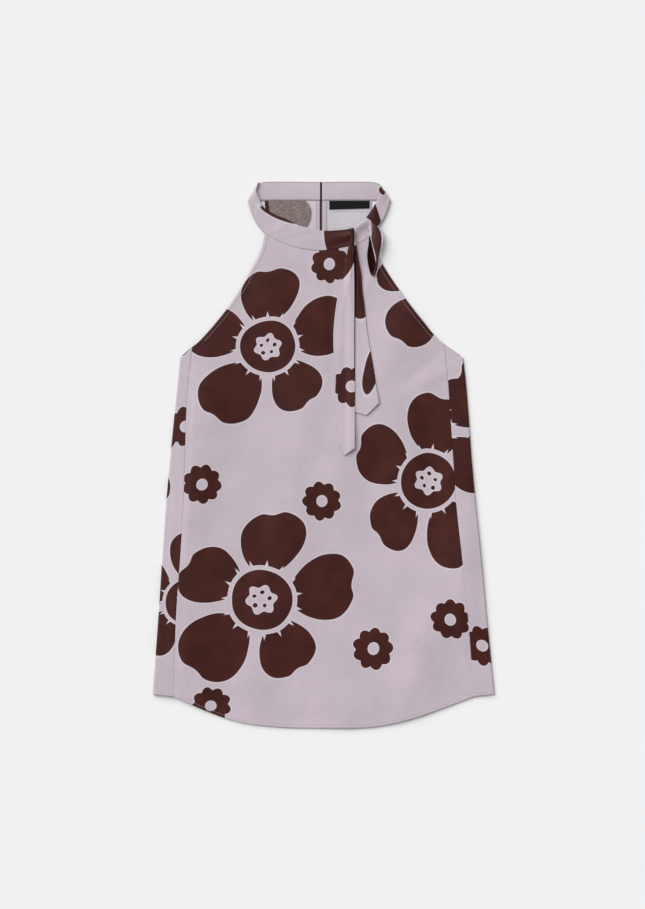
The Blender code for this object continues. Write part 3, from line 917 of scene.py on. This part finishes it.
def placeBack(i, j):
    zone, share, shift = backZone[i], backShare[i], backShift[i]
    low = np.clip(backUp[j] / back["bodyShare"], 0, 1)
    high = np.clip((backUp[j] - back["bodyShare"]) / (1 - back["bodyShare"]), 0, 1)
    wall, radius, gap = garment["panelWall"], garment["foldRadius"], garment["seamGap"]
    outer = np.zeros((len(i), 3))
    inner = np.zeros((len(i), 3))
    cloth = np.zeros((len(i), 2))
    for side, inward in (("left", 1), ("right", -1)):
        # the return, from the seam out to the top of the fold
        flat = zone == side + "Return"
        y = mix(garment["hemAtFold"], garment["underarm"], low)
        seam = read(bodyLines, side + "Seam", y) - inward * gap / 2
        foldTop = read(bodyLines, side + "Fold", y) + inward * radius
        x = mix(seam - inward * shift, foldTop, share)
        out = (x - seam) / (foldTop - seam)
        y = mix(mix(garment["hemAtSeam"], garment["hemAtFold"], out),
                mix(garment["seamTop"][side], garment["underarm"], out), low) + backUpShift[j]
        seam = read(bodyLines, side + "Seam", y) - inward * gap / 2
        foldTop = read(bodyLines, side + "Fold", y) + inward * radius
        x = mix(seam, foldTop, out)
        under = layerUnder(x, y)
        topRise = together(backSeamRise[i], np.where(low >= 1, back["returnTopDrop"], backRowRise[j]))
        top = under + wall + topRise + creaseHeight(fineCreases, x, y, wall)
        top = top + puckerHeight(inward * (seam - x), y + pucker["returnShift"])
        outer[flat] = np.stack([x, y, top], 1)[flat]
        inner[flat] = np.stack([x, y, under], 1)[flat]
        cloth[flat] = np.stack([2 * foldTop - x - inward * np.pi * radius, y], 1)[flat]
        # the fold, from its top round to its bottom
        bend = zone == side + "Fold"
        y = mix(garment["hemAtFold"], garment["underarm"], low) + backUpShift[j]
        middleX = read(bodyLines, side + "Fold", y) + inward * radius
        middleZ = (layerUnder(middleX, y) + wall) / 2
        angle = np.pi * share
        rim = back["rimShare"] * np.minimum(backRowRise[j], 0)
        outX = middleX - inward * (radius + rim) * np.sin(angle)
        inX = middleX - inward * (radius - wall) * np.sin(angle)
        outer[bend] = np.stack([outX, y, middleZ + (middleZ + rim) * np.cos(angle)], 1)[bend]
        inner[bend] = np.stack([inX, y, middleZ + (middleZ - wall) * np.cos(angle)], 1)[bend]
        cloth[bend] = np.stack([middleX - inward * (np.pi - angle) * radius, y], 1)[bend]
        # the flat back on its side of the slit, with the armhole edge above the underarm
        laid = zone == side + "Back"
        inBody = backUp[j] <= back["bodyShare"]
        y = np.where(inBody, y, mix(garment["underarm"], garment["backNeck"], high) + backUpShift[j])
        edge = np.where(inBody, read(bodyLines, side + "Fold", y), read(armholeLines, side, y))
        edge = edge + inward * radius
        slit = back["slitX"] - inward * back["slitWidth"] / 2
        x = mix(edge, slit, share) if side == "left" else mix(slit, edge, share)
        x = x + shift
        drop = np.minimum(hemDrop(x) + garment["backHemRise"], 0) * (1 - low) ** 2
        y = y + np.where(inBody, drop, 0)
        holeRise = np.where(inBody, 0.0, backHoleRise[i])
        rise = together(holeRise, backRowRise[j])
        outer[laid] = np.stack([x, y, np.zeros(len(x))], 1)[laid]
        inner[laid] = np.stack([x, y, wall + rise], 1)[laid]
        cloth[laid] = np.stack([x, y], 1)[laid]
    return outer, inner, cloth


def makeBack():
    hemSteps = stitchStop + 1

    def innerLook(step):  # the turned hem of each armhole shows the right side of the cloth
        if backStart <= step < backStart + hemSteps:
            return 2
        return 3 if backEnd - hemSteps <= step < backEnd else 1

    cloth = layWall("backCloth", len(backZone) - 1, len(backUp) - 1, placeBack,
                    [backSatin, backWrongSide, brownSatin, lilacSatin], backHasFace, innerLook)
    thread = bmesh.new()
    for name in ("leftReturn", "rightReturn"):
        stations = np.flatnonzero(backZone == name)
        line = placeBack(stations, np.full(len(stations), stitchStop))[0]
        sewRow(thread, line)
    start, end, height = back["insideRow"]  # below the label
    x = np.linspace(start, end, back["insidePoints"])
    sewRow(thread, np.stack([x, np.full(len(x), height), np.full(len(x), garment["panelWall"])], 1))
    return cloth, finishStitches("backStitches", thread, paleThread)


# The facings folded back along the opening, on the inside of the back, and the dark edge between them: a
# turned edge of the print's brown, darkened to near black as painted shade of the gap
slit = {
    "left": (-10.9, -4.9),
    "right": (-2.2, 4.6),
    "under": 1.25,
    "wall": 0.5,
    "steps": 4,
    "rows": 60,
    "pastEnd": 4.0,
    "belowNeck": 0.3,
    "waveHeight": 0.10,
    "waveRate": 0.9,
    "sewnWidth": 2.4,
    "threadLift": 0.05,
    "edgeWidth": 2.9,
    "edgeSteps": 4,
    "edgePastEnd": 2.0,
    "edgeTopEnd": 368.4,
    "edgeUnder": 0.3,
    "edgeOnBack": 1.3,
    "edgeOnBand": 1.55,
    "edgeRound": 0.25,
}


def makeSlit():
    thread = bmesh.new()
    pieces = []
    for side in ("left", "right"):
        low, high = slit[side]
        end, neck = back["slitEnd"] - slit["pastEnd"], garment["backNeck"] - slit["belowNeck"]
        share, shift = edgedLine(slit["steps"], slit["sewnWidth"], slit["sewnWidth"])
        rise = edgeRise(slit["steps"], "sewn", "sewn") * slit["wall"]
        across = len(share) - 1

        def place(i, j, low=low, high=high):
            x = mix(low, high, share[i]) + shift[i]
            y = mix(end, neck, j / slit["rows"])
            wave = slit["waveHeight"] * np.sin(y * slit["waveRate"]) * np.sin(np.pi * share[i])
            under = np.full(len(x), slit["under"])
            top = under + slit["wall"] + rise[i] + wave
            return flatWall(x, y, top, under)

        pieces.append(layWall("slitFacing" + side.title(), across, slit["rows"], place, [lilacSatin]))
        for station in (sewnStop, across - sewnStop):
            rows = np.arange(0, slit["rows"] + 1)
            sewRow(thread, place(np.full(len(rows), station), rows)[0], slit["threadLift"])
    half = slit["edgeWidth"] / 2

    def placeEdge(i, j):
        share = i / slit["edgeSteps"]
        x = back["slitX"] + mix(-half, half, share)
        y = mix(back["slitEnd"] - slit["edgePastEnd"], slit["edgeTopEnd"], j / slit["rows"])
        top = np.where(y < garment["backNeck"], slit["edgeOnBack"], slit["edgeOnBand"])
        top = top - slit["edgeRound"] * (2 * share - 1) ** 2
        under = np.full(len(x), slit["edgeUnder"])
        return flatWall(x, y, top, under)

    # the turned brown edge, darkened to near black: painted shade of the gap between the facings
    edge = layWall("slitEdge", slit["edgeSteps"], slit["rows"], placeEdge, [paintedShadeSatin])
    return pieces + [edge, finishStitches("slitStitches", thread, stitchShadeThread)]


# The neckband: one long band folded flat at both sides of the neck
band = {
    "perSection": 8,
    "across": 10,
    "edgeWidth": 2.6,
    "swell": 0.45,
    "edgeRound": 1.3,
    "foldRound": 0.5,
    "foldReach": 1.6,
    "innerReach": 0.2,
    "innerLift": 2.4,
    "liftFrom": 0.35,
    "liftSections": 4.0,
    "foldRows": 8,
    "slitWidth": 2.7,
    "threadLift": 0.1,
}
slitLeft = back["slitX"] - band["slitWidth"] / 2
slitRight = back["slitX"] + band["slitWidth"] / 2
leftBand = columnsOf("outerX outerY innerX innerY under", [
    (slitLeft, 343.5, slitLeft, 368.9, 0),
    (-45, 343.6, -44, 369.2, 0),
    (-80, 343.5, -74, 369.2, 0),
    (-103.1, 342.6, -88.9, 368.3, 0),
])
rightBand = columnsOf("outerX outerY innerX innerY under", [
    (slitRight, 343.5, slitRight, 368.9, 0),
    (30, 343.6, 30, 369.2, 0),
    (62, 343.6, 60, 369.0, 0),
    (74, 343.5, 70, 367.9, 0),
    (84, 343.4, 77.2, 364.2, 0),
    (90.9, 343.4, 81.4, 357.4, 0),
])
# Creases in the face of the front band, drawn together by the knot
bandCreases = columnsOf("x y lean length width height", [
    (38, 297, 80, 22, 2.8, 1.00),
    (32, 288, 76, 20, 2.6, -1.00),
    (22, 301, 86, 18, 2.2, -0.70),
    (53, 301, 58, 13, 6.0, -2.2),
    (-60, 306, 62, 26, 4.0, 0.30),
    (-34, 294, 74, 24, 3.4, -0.25),
    (-92, 336, 10, 16, 3.0, -0.35),
    (-12, 290, 88, 20, 3.6, 0.30),
    (82, 336, -20, 10, 2.5, 0.35),
])
# Where the knot pulls the whole band up, beside a hollow
bandFolds = columnsOf("x y lean length width height", [
    (49.5, 310.5, 58, 13, 7.5, 4.6),
])


def outwardOf(table, row, towards):  # across the fold line, away from the neck
    east = table["innerX"][row] - table["outerX"][row]
    north = table["innerY"][row] - table["outerY"][row]
    out = Vector((-north, east)).normalized()
    return out if out.x * towards > 0 else -out


def bandPlacer(table, rollStart, rollEnd, edge):
    order = np.arange(len(table["under"]), dtype=float)
    rows = band["perSection"] * (len(order) - 1)
    share, shift = edgedLine(band["across"], band["edgeWidth"], band["edgeWidth"])
    rise = edgeRise(band["across"], edge, edge) * band["edgeRound"]
    startRows = band["foldRows"] if rollStart else 0
    endRows = band["foldRows"] if rollEnd else 0
    outStart = outwardOf(table, 0, -1)
    outEnd = outwardOf(table, -1, 1 if table["outerX"][-1] > 0 else -1)
    wall, reach = garment["bandWall"], band["foldReach"]

    def place(i, j):
        at = np.clip((j - startRows) / band["perSection"], 0, order[-1])
        line = {key: curveAt(order, table[key], at) for key in table}
        width = np.hypot(line["innerX"] - line["outerX"], line["innerY"] - line["outerY"])
        across = share[i] + shift[i] / width
        x = mix(line["outerX"], line["innerX"], across)
        y = mix(line["outerY"], line["innerY"], across)
        turn = np.pi * (np.clip((startRows - j) / max(startRows, 1), 0, 1)
                        + np.clip((j - startRows - rows) / max(endRows, 1), 0, 1))
        flat = line["under"] + wall
        middle = flat / 2
        swell = band["swell"] * np.sin(np.pi * across) + rise[i]
        pulled = 0
        if rollStart:
            swell = swell + creaseHeight(bandCreases, x, y, wall)
            pulled = foldHeight(bandFolds, x, y)
        outZ = middle + middle * np.cos(turn) + rise[i] * np.cos(turn) * band["foldRound"]
        outZ = np.where(turn > 0, outZ, flat + swell + pulled)
        inZ = np.where(turn > 0, middle + (middle - wall) * np.cos(turn), line["under"] + pulled)
        if rollStart:
            toFold = np.minimum(at, order[-1] - at) / band["liftSections"]
            lift = band["innerLift"] * ramp(across, band["liftFrom"], 1.0)
            lift = lift * (1 - ramp(toFold, 0.0, 1.0)) * (1 + np.cos(turn)) / 2
            outZ = outZ + lift
            inZ = inZ + lift
        nearStart = np.clip(1 - at, 0, 1) if rollStart else 0
        nearEnd = np.clip(at - order[-1] + 1, 0, 1)
        pull = {}
        for face, amount in (("outer", reach), ("inner", band["innerReach"])):
            drawn = reach - np.sin(turn) * amount
            pull[face] = (outStart.x * nearStart * drawn + outEnd.x * nearEnd * drawn,
                          outStart.y * nearStart * drawn + outEnd.y * nearEnd * drawn)
        outer = np.stack([x - pull["outer"][0], y - pull["outer"][1], outZ], 1)
        inner = np.stack([x - pull["inner"][0], y - pull["inner"][1], inZ], 1)
        return outer, inner, np.stack([x, y], 1)

    return place, len(share) - 1, startRows + rows + endRows


def makeBands():
    pieces = []
    placeFrontBand, across, along = bandPlacer(frontBand, True, True, "round")
    pieces.append(layWall("bandFront", across, along, placeFrontBand, [bandSatin]))
    thread = bmesh.new()
    for name, table in (("bandBackLeft", leftBand), ("bandBackRight", rightBand)):
        place, across, along = bandPlacer(table, False, False, "sewn")
        pieces.append(layWall(name, across, along, place, [bandSatin]))
        rows = np.arange(0, along)
        for station in (sewnStop, across - sewnStop):
            sewRow(thread, place(np.full(len(rows), station), rows)[0], band["threadLift"])
    pieces.append(finishStitches("bandStitches", thread, stitchShadeThread))
    return pieces


# The tie: two tails from the band, the part turned over the band, and the hanging loop
tails = {
    "long": {
        "lines": columnsOf("y left right", [
            (18.3, 20.3, 42.3),
            (51.5, 17.3, 42.3),
            (82, 15.8, 42.3),
            (109, 16.3, 42.3),
            (127, 14.3, 42.3),
            (169, 13.4, 42.3),
            (205, 17.3, 42.3),
            (229, 21.7, 42.3),
            (247, 26.0, 42.0),
            (265, 29.5, 41.6),
            (285, 33.8, 41.2),
            (304, 36.9, 41.4),
        ]),
        "tip": (27.8, -1.3),
        "slopes": (2.6, 0.72),
        "rows": 150,
        # the last steps of the right-hand edge, above this height, carry a painted shadow in near-black cloth
        "paintedShadowEdge": {"steps": 4, "above": 104.0},
    },
    "short": {
        "lines": columnsOf("y left right", [
            (69.6, 39.8, 74.5),
            (118, 39.5, 67.0),
            (169, 39.0, 58.6),
            (205, 39.0, 54.9),
            (223, 38.8, 52.5),
            (249.4, 38.5, 50.3),
            (262.8, 38.3, 47.7),
            (285, 37.8, 44.4),
            (302, 38.0, 42.6),
        ]),
        "tip": (57.9, 53.0),
        "slopes": (0.31, 1.0),
        "rows": 120,
        "paintedShadowEdge": None,
    },
    "overBand": (250.0, 268.0),
    "overTail": (28.0, 37.5),
    "rootLift": 2.4,
    "rootPuff": {"height": 3.0, "from": 170.0, "to": 285.0, "turn": 0.8, "least": 0.08},
    "tipLift": {"height": 1.6, "reach": 0.12},
    "narrowing": 4.0,
    "across": 14,
    "edgeWidth": 2.2,
    "pointShare": 1 / 6,
}
# Creases in the tails: the gathers at the root and the soft press folds lower down
tailCreases = columnsOf("x y lean length width height", [
    (38.5, 262, 9, 46, 1.3, 0.55),
    (35.0, 246, 14, 40, 1.6, -0.45),
    (31.5, 226, 12, 36, 2.4, 0.40),
    (46.0, 232, -8, 60, 1.8, 0.45),
    (42.8, 262, -4, 36, 1.2, -0.5),
    (22.0, 150, 4, 70, 4.0, 0.30),
    (33.0, 80, -4, 60, 4.5, -0.25),
    (58.0, 120, -14, 46, 4.0, 0.35),
    (52.0, 150, -10, 40, 3.0, -0.30),
])


def underTail(x, y):
    onFront = layerUnder(x, y) + garment["panelWall"]
    onBand = layerRest + garment["bandWall"] + foldHeight(bandFolds, x, y)
    up = ramp(y, *tails["overBand"])
    return mix(onFront, np.maximum(onFront, onBand), up) + garment["layGap"]


def makeTail(name, tail, material, lift):
    lines = tail["lines"]
    share, shift = edgedLine(tails["across"], tails["edgeWidth"], tails["edgeWidth"])
    rise = edgeRise(tails["across"], "round", "round")
    upShare, upShift = edgedLine(tail["rows"], tails["edgeWidth"], tails["edgeWidth"])
    upRise = edgeRise(tail["rows"], "round", "round")

    def place(i, j):
        low, high = lines["y"][0], lines["y"][-1]
        up = upShare[j]
        y = mix(low, high, up)
        left, right = read(lines, "left", y), read(lines, "right", y)
        narrow = np.minimum((right - left) / (tails["narrowing"] * tails["edgeWidth"]), 1)
        x = mix(left, right, share[i]) + shift[i] * narrow
        slope = np.where(x < tail["tip"][0], tail["slopes"][0], tail["slopes"][1])
        endY = tail["tip"][1] + np.abs(x - tail["tip"][0]) * slope
        y = y + (endY - low) * (1 - np.minimum(up / tails["pointShare"], 1)) + upShift[j]
        root, tip = tails["rootPuff"], tails["tipLift"]
        atRoot = ramp(y, root["from"], root["to"])
        puff = root["height"] * atRoot * np.sin(root["turn"] * np.pi * np.maximum(share[i], root["least"]))
        over = (lift + (tails["rootLift"] * atRoot if lift else 0)) * ramp(x, *tails["overTail"])
        curl = tip["height"] * (1 - ramp(up, 0, tip["reach"])) * ramp(x, left, right)
        under = underTail(x, y) + over + puff + curl
        top = under + garment["tieWall"] + together(rise[i], upRise[j]) + foldHeight(tailCreases, x, y)
        return flatWall(x, y, top, under)

    def paintedShadowEdge(step, row):  # a painted shadow: near-black cloth along the right-hand fold, where it lies over the short tail
        dark = tail["paintedShadowEdge"]
        height = mix(lines["y"][0], lines["y"][-1], upShare[row])
        return int(step >= len(share) - 1 - dark["steps"] and height > dark["above"])

    return layWall(name, len(share) - 1, len(upShare) - 1, place, [material, paintedShadeSatin],
                   innerLook=lambda step: 0, outerLook=paintedShadowEdge if tail["paintedShadowEdge"] else None)


knotLines = columnsOf("leftX leftY rightX rightY middle", [
    (69.0, 338.2, 70.2, 337.6, 5.4),
    (65.0, 331.0, 73.0, 328.8, 5.4),
    (60.6, 324.5, 75.4, 320.8, 5.5),
    (58.0, 320.2, 76.6, 315.6, 5.6),
    (63.2, 316.6, 75.4, 312.6, 5.6),
    (66.0, 311.2, 73.4, 309.2, 5.5),
])
loopLines = columnsOf("leftX leftY rightX rightY middle", [
    (66.1, 310.8, 73.4, 308.8, 5.6),
    (64.6, 302.0, 78.2, 302.0, 7.2),
    (63.8, 291.5, 80.6, 293.5, 8.8),
    (66.4, 281.5, 79.8, 284.0, 9.5),
    (69.2, 272.0, 77.0, 274.0, 9.2),
    (70.6, 263.0, 74.6, 265.0, 8.6),
    (69.9, 254.5, 74.0, 255.5, 7.6),
    (67.2, 247.2, 72.9, 247.0, 6.7),
    (64.2, 242.8, 70.0, 242.4, 5.4),
    (62.4, 246.6, 71.4, 245.6, 4.8),
    (60.2, 255.0, 71.9, 255.0, 4.8),
    (58.9, 264.5, 70.6, 265.0, 4.9),
    (58.7, 274.0, 69.2, 275.0, 5.1),
    (59.8, 284.0, 67.0, 286.0, 5.8),
    (60.0, 294.0, 65.0, 296.0, 6.8),
    (59.9, 305.0, 64.0, 306.0, 7.0),
    (60.2, 317.2, 62.9, 315.4, 6.0),
])
ribbonSizes = {
    "perSection": 8,
    "across": 16,
    "bow": 0.9,
    "wall": 0.8,
    "edgePower": 6,
    "edgeLeast": 0.03,
    "endRows": 2,
    "endLeast": 0.2,
    "slopeReach": 0.05,
    "pucker": 0.35,
    "puckerRate": 7.5,
    "puckerFrom": 12.5,
    "puckerTo": 14.0,
    "clothWidth": 14.0,
    "clothPitch": 9.0,
}


def makeRibbon(name, table, materials):
    sizes = ribbonSizes
    order = np.arange(len(table["middle"]), dtype=float)
    rows = sizes["perSection"] * (len(order) - 1)
    across = sizes["across"]

    def middle(share, at):
        line = {key: curveAt(order, table[key], at) for key in table}
        return np.stack([mix(line["leftX"], line["rightX"], share),
                         mix(line["leftY"], line["rightY"], share), line["middle"]], 1)

    def place(i, j):
        at = j / sizes["perSection"]
        share = (1 - np.cos(np.pi * i / across)) / 2
        near = sizes["slopeReach"]
        along = middle(share, np.minimum(at + near, order[-1])) - middle(share, np.maximum(at - near, 0))
        side = middle(np.ones(len(at)), at) - middle(np.zeros(len(at)), at)
        out = np.cross(along, side)
        out = out / np.linalg.norm(out, axis=1)[:, None]
        roundness = np.maximum(1 - (2 * share - 1) ** sizes["edgePower"], sizes["edgeLeast"])
        roundness = np.sqrt(roundness)[:, None]
        toEnd = np.minimum(j, rows - j) / sizes["endRows"]
        endRound = np.sqrt(np.clip(toEnd, sizes["endLeast"], 1))[:, None]
        half = sizes["wall"] / 2 * roundness * endRound
        pucker = sizes["pucker"] * np.sin(at * sizes["puckerRate"])
        pucker = pucker * ramp(at, sizes["puckerFrom"], sizes["puckerTo"])
        bow = out * (sizes["bow"] * np.sin(np.pi * share) + pucker)[:, None]
        spot = middle(share, at)
        cloth = np.stack([share * sizes["clothWidth"], at * sizes["clothPitch"]], 1)
        return spot + bow + out * half, spot + bow - out * half, cloth

    return layWall(name, across, rows, place, materials)


labelSizes = {
    "left": 7.6,
    "right": 62.1,
    "top": 342.9,
    "leftBottom": 331.4,
    "rightBottom": 332.8,
    "under": 1.6,
    "wall": 1.0,
    "across": 40,
    "rows": 14,
    "edgeWidth": 1.2,
    "edgeRound": 0.7,
    "rib": 0.55,
    "ribDepth": 0.12,
    "ribStrength": 0.7,
    "roughness": 0.75,
    "sheen": 0.02,
    "specular": 0.15,
    "black": (0.002, 0.002, 0.0025, 1),
    "paleBlack": (0.008, 0.008, 0.009, 1),
}


def makeLabelCloth():
    finish = [labelSizes[key] for key in ("roughness", "sheen", "specular")]
    material, tree, shader = shaderOf("labelCloth", *finish)
    place = clothPlace(tree)
    ribs = weaveHeight(tree, place, labelSizes["rib"])
    colour = mixColour(tree, ribs, labelSizes["black"], labelSizes["paleBlack"])
    tree.links.new(colour, shader.inputs["Base Color"])
    addBump(tree, shader, ribs, labelSizes["ribStrength"], labelSizes["ribDepth"])
    return material


def makeLabel():
    sizes = labelSizes
    share, shift = edgedLine(sizes["across"], sizes["edgeWidth"], sizes["edgeWidth"])
    upShare, upShift = edgedLine(sizes["rows"], sizes["edgeWidth"], sizes["edgeWidth"])
    rise = edgeRise(sizes["across"], "round", "round") * sizes["edgeRound"]
    upRise = edgeRise(sizes["rows"], "round", "round") * sizes["edgeRound"]

    def place(i, j):
        x = mix(sizes["left"], sizes["right"], share[i]) + shift[i]
        bottom = mix(sizes["leftBottom"], sizes["rightBottom"], share[i])
        y = mix(bottom, sizes["top"], upShare[j]) + upShift[j]
        under = np.full(len(x), sizes["under"])
        top = under + sizes["wall"] + together(rise[i], upRise[j])
        return flatWall(x, y, top, under)

    return layWall("labelPiece", len(share) - 1, len(upShare) - 1, place, [makeLabelCloth()])


# Making and placing every piece
def settle(piece, slotName, *nodes):
    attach(piece, "root")
    if nodes:
        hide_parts(*nodes)


frontCloth, frontStitches = makeFront()
settle(frontCloth, "printed_satin", "front_panel")
settle(frontStitches, "printed_satin")
print("front made")

backCloth, backStitches = makeBack()
settle(backCloth, "printed_satin", "back_panel")
settle(backStitches, "printed_satin")
print("back made")

facingLeft, facingRight, slitEdge, slitStitches = makeSlit()
for piece in (facingLeft, facingRight, slitStitches):
    settle(piece, "printed_satin")
settle(slitEdge, "dark_satin")
print("opening made")

bandFront, bandBackLeft, bandBackRight, bandStitches = makeBands()
settle(bandFront, "printed_satin", "neckband_front")
settle(bandBackLeft, "printed_satin", "neckband_back_left")
settle(bandBackRight, "printed_satin", "neckband_back_right")
settle(bandStitches, "printed_satin")
print("neckband made")

overShort = garment["tieWall"] + garment["layGap"]
tailLong = makeTail("tailLong", tails["long"], longTailSatin, overShort)
tailShort = makeTail("tailShort", tails["short"], shortTailSatin, 0)
settle(tailLong, "printed_satin", "tie_tail_long")
settle(tailShort, "printed_satin", "tie_tail_short")
knotCloth = makeRibbon("knotCloth", knotLines, [brownSatin])
loopCloth = makeRibbon("loopCloth", loopLines, [loopSatin, loopInsidePaintedShade])
settle(knotCloth, "dark_satin", "tie_knot")
settle(loopCloth, "dark_satin", "tie_loop")
print("tie made")

labelPiece = makeLabel()
settle(labelPiece, "woven_label", "label")
print("label made")


# Floor, light and camera, placed in metres
stage = {
    "floorSize": 20.0,
    "floorColour": (0.802, 0.802, 0.802, 1),
    "floorShade": 0.995,
    "floorGrain": 3.0,
    "floorRoughness": 0.9,
    "floorSpecular": 0.1,
    "keyFrom": (-0.55, 0.62, 0.72),
    "keySpread": 55.0,
    "keyPower": 3.2,
    "skyStrength": 0.43,
    "cameraPlace": (-0.0015, 0.0005, 2.9),
    "lens": 85,
    "sensor": 36,
}


def makeStage():
    shape = bmesh.new()
    bmesh.ops.create_grid(shape, x_segments=8, y_segments=8, size=stage["floorSize"])
    floor = finishPiece("floor", shape, [])
    material, tree, shader = shaderOf(
        "floorPaint", stage["floorRoughness"], 0.0, stage["floorSpecular"])
    coordinates = tree.nodes.new("ShaderNodeTexCoord")
    grain = noise(tree, coordinates.outputs["Object"], stage["floorGrain"]).outputs[0]
    tone = mapRange(tree, grain, *noiseSpread)
    base = stage["floorColour"]
    shade = tuple(c * stage["floorShade"] for c in base[:3]) + (1,)
    colour = mixColour(tree, tone, shade, base)
    tree.links.new(colour, shader.inputs["Base Color"])
    floor.data.materials.append(material)

    world = bpy.data.worlds.new("studio")
    world.use_nodes = True
    world.node_tree.nodes["Background"].inputs["Color"].default_value = (1, 1, 1, 1)
    world.node_tree.nodes["Background"].inputs["Strength"].default_value = stage["skyStrength"]
    bpy.context.scene.world = world

    light = bpy.data.lights.new("key", "SUN")
    light.angle = np.radians(stage["keySpread"])
    light.energy = stage["keyPower"]
    key = bpy.data.objects.new("key", light)
    key.location = stage["keyFrom"]
    key.rotation_euler = (-Vector(stage["keyFrom"])).to_track_quat("-Z", "Y").to_euler()
    bpy.context.scene.collection.objects.link(key)

    camera = bpy.data.objects.new("camera", bpy.data.cameras.new("camera"))
    camera.data.lens = stage["lens"]
    camera.data.sensor_width = stage["sensor"]
    camera.location = stage["cameraPlace"]
    bpy.context.scene.collection.objects.link(camera)
    bpy.context.scene.camera = camera
    bpy.context.scene.view_settings.view_transform = "Standard"


makeStage()
print("floor, light and camera made")
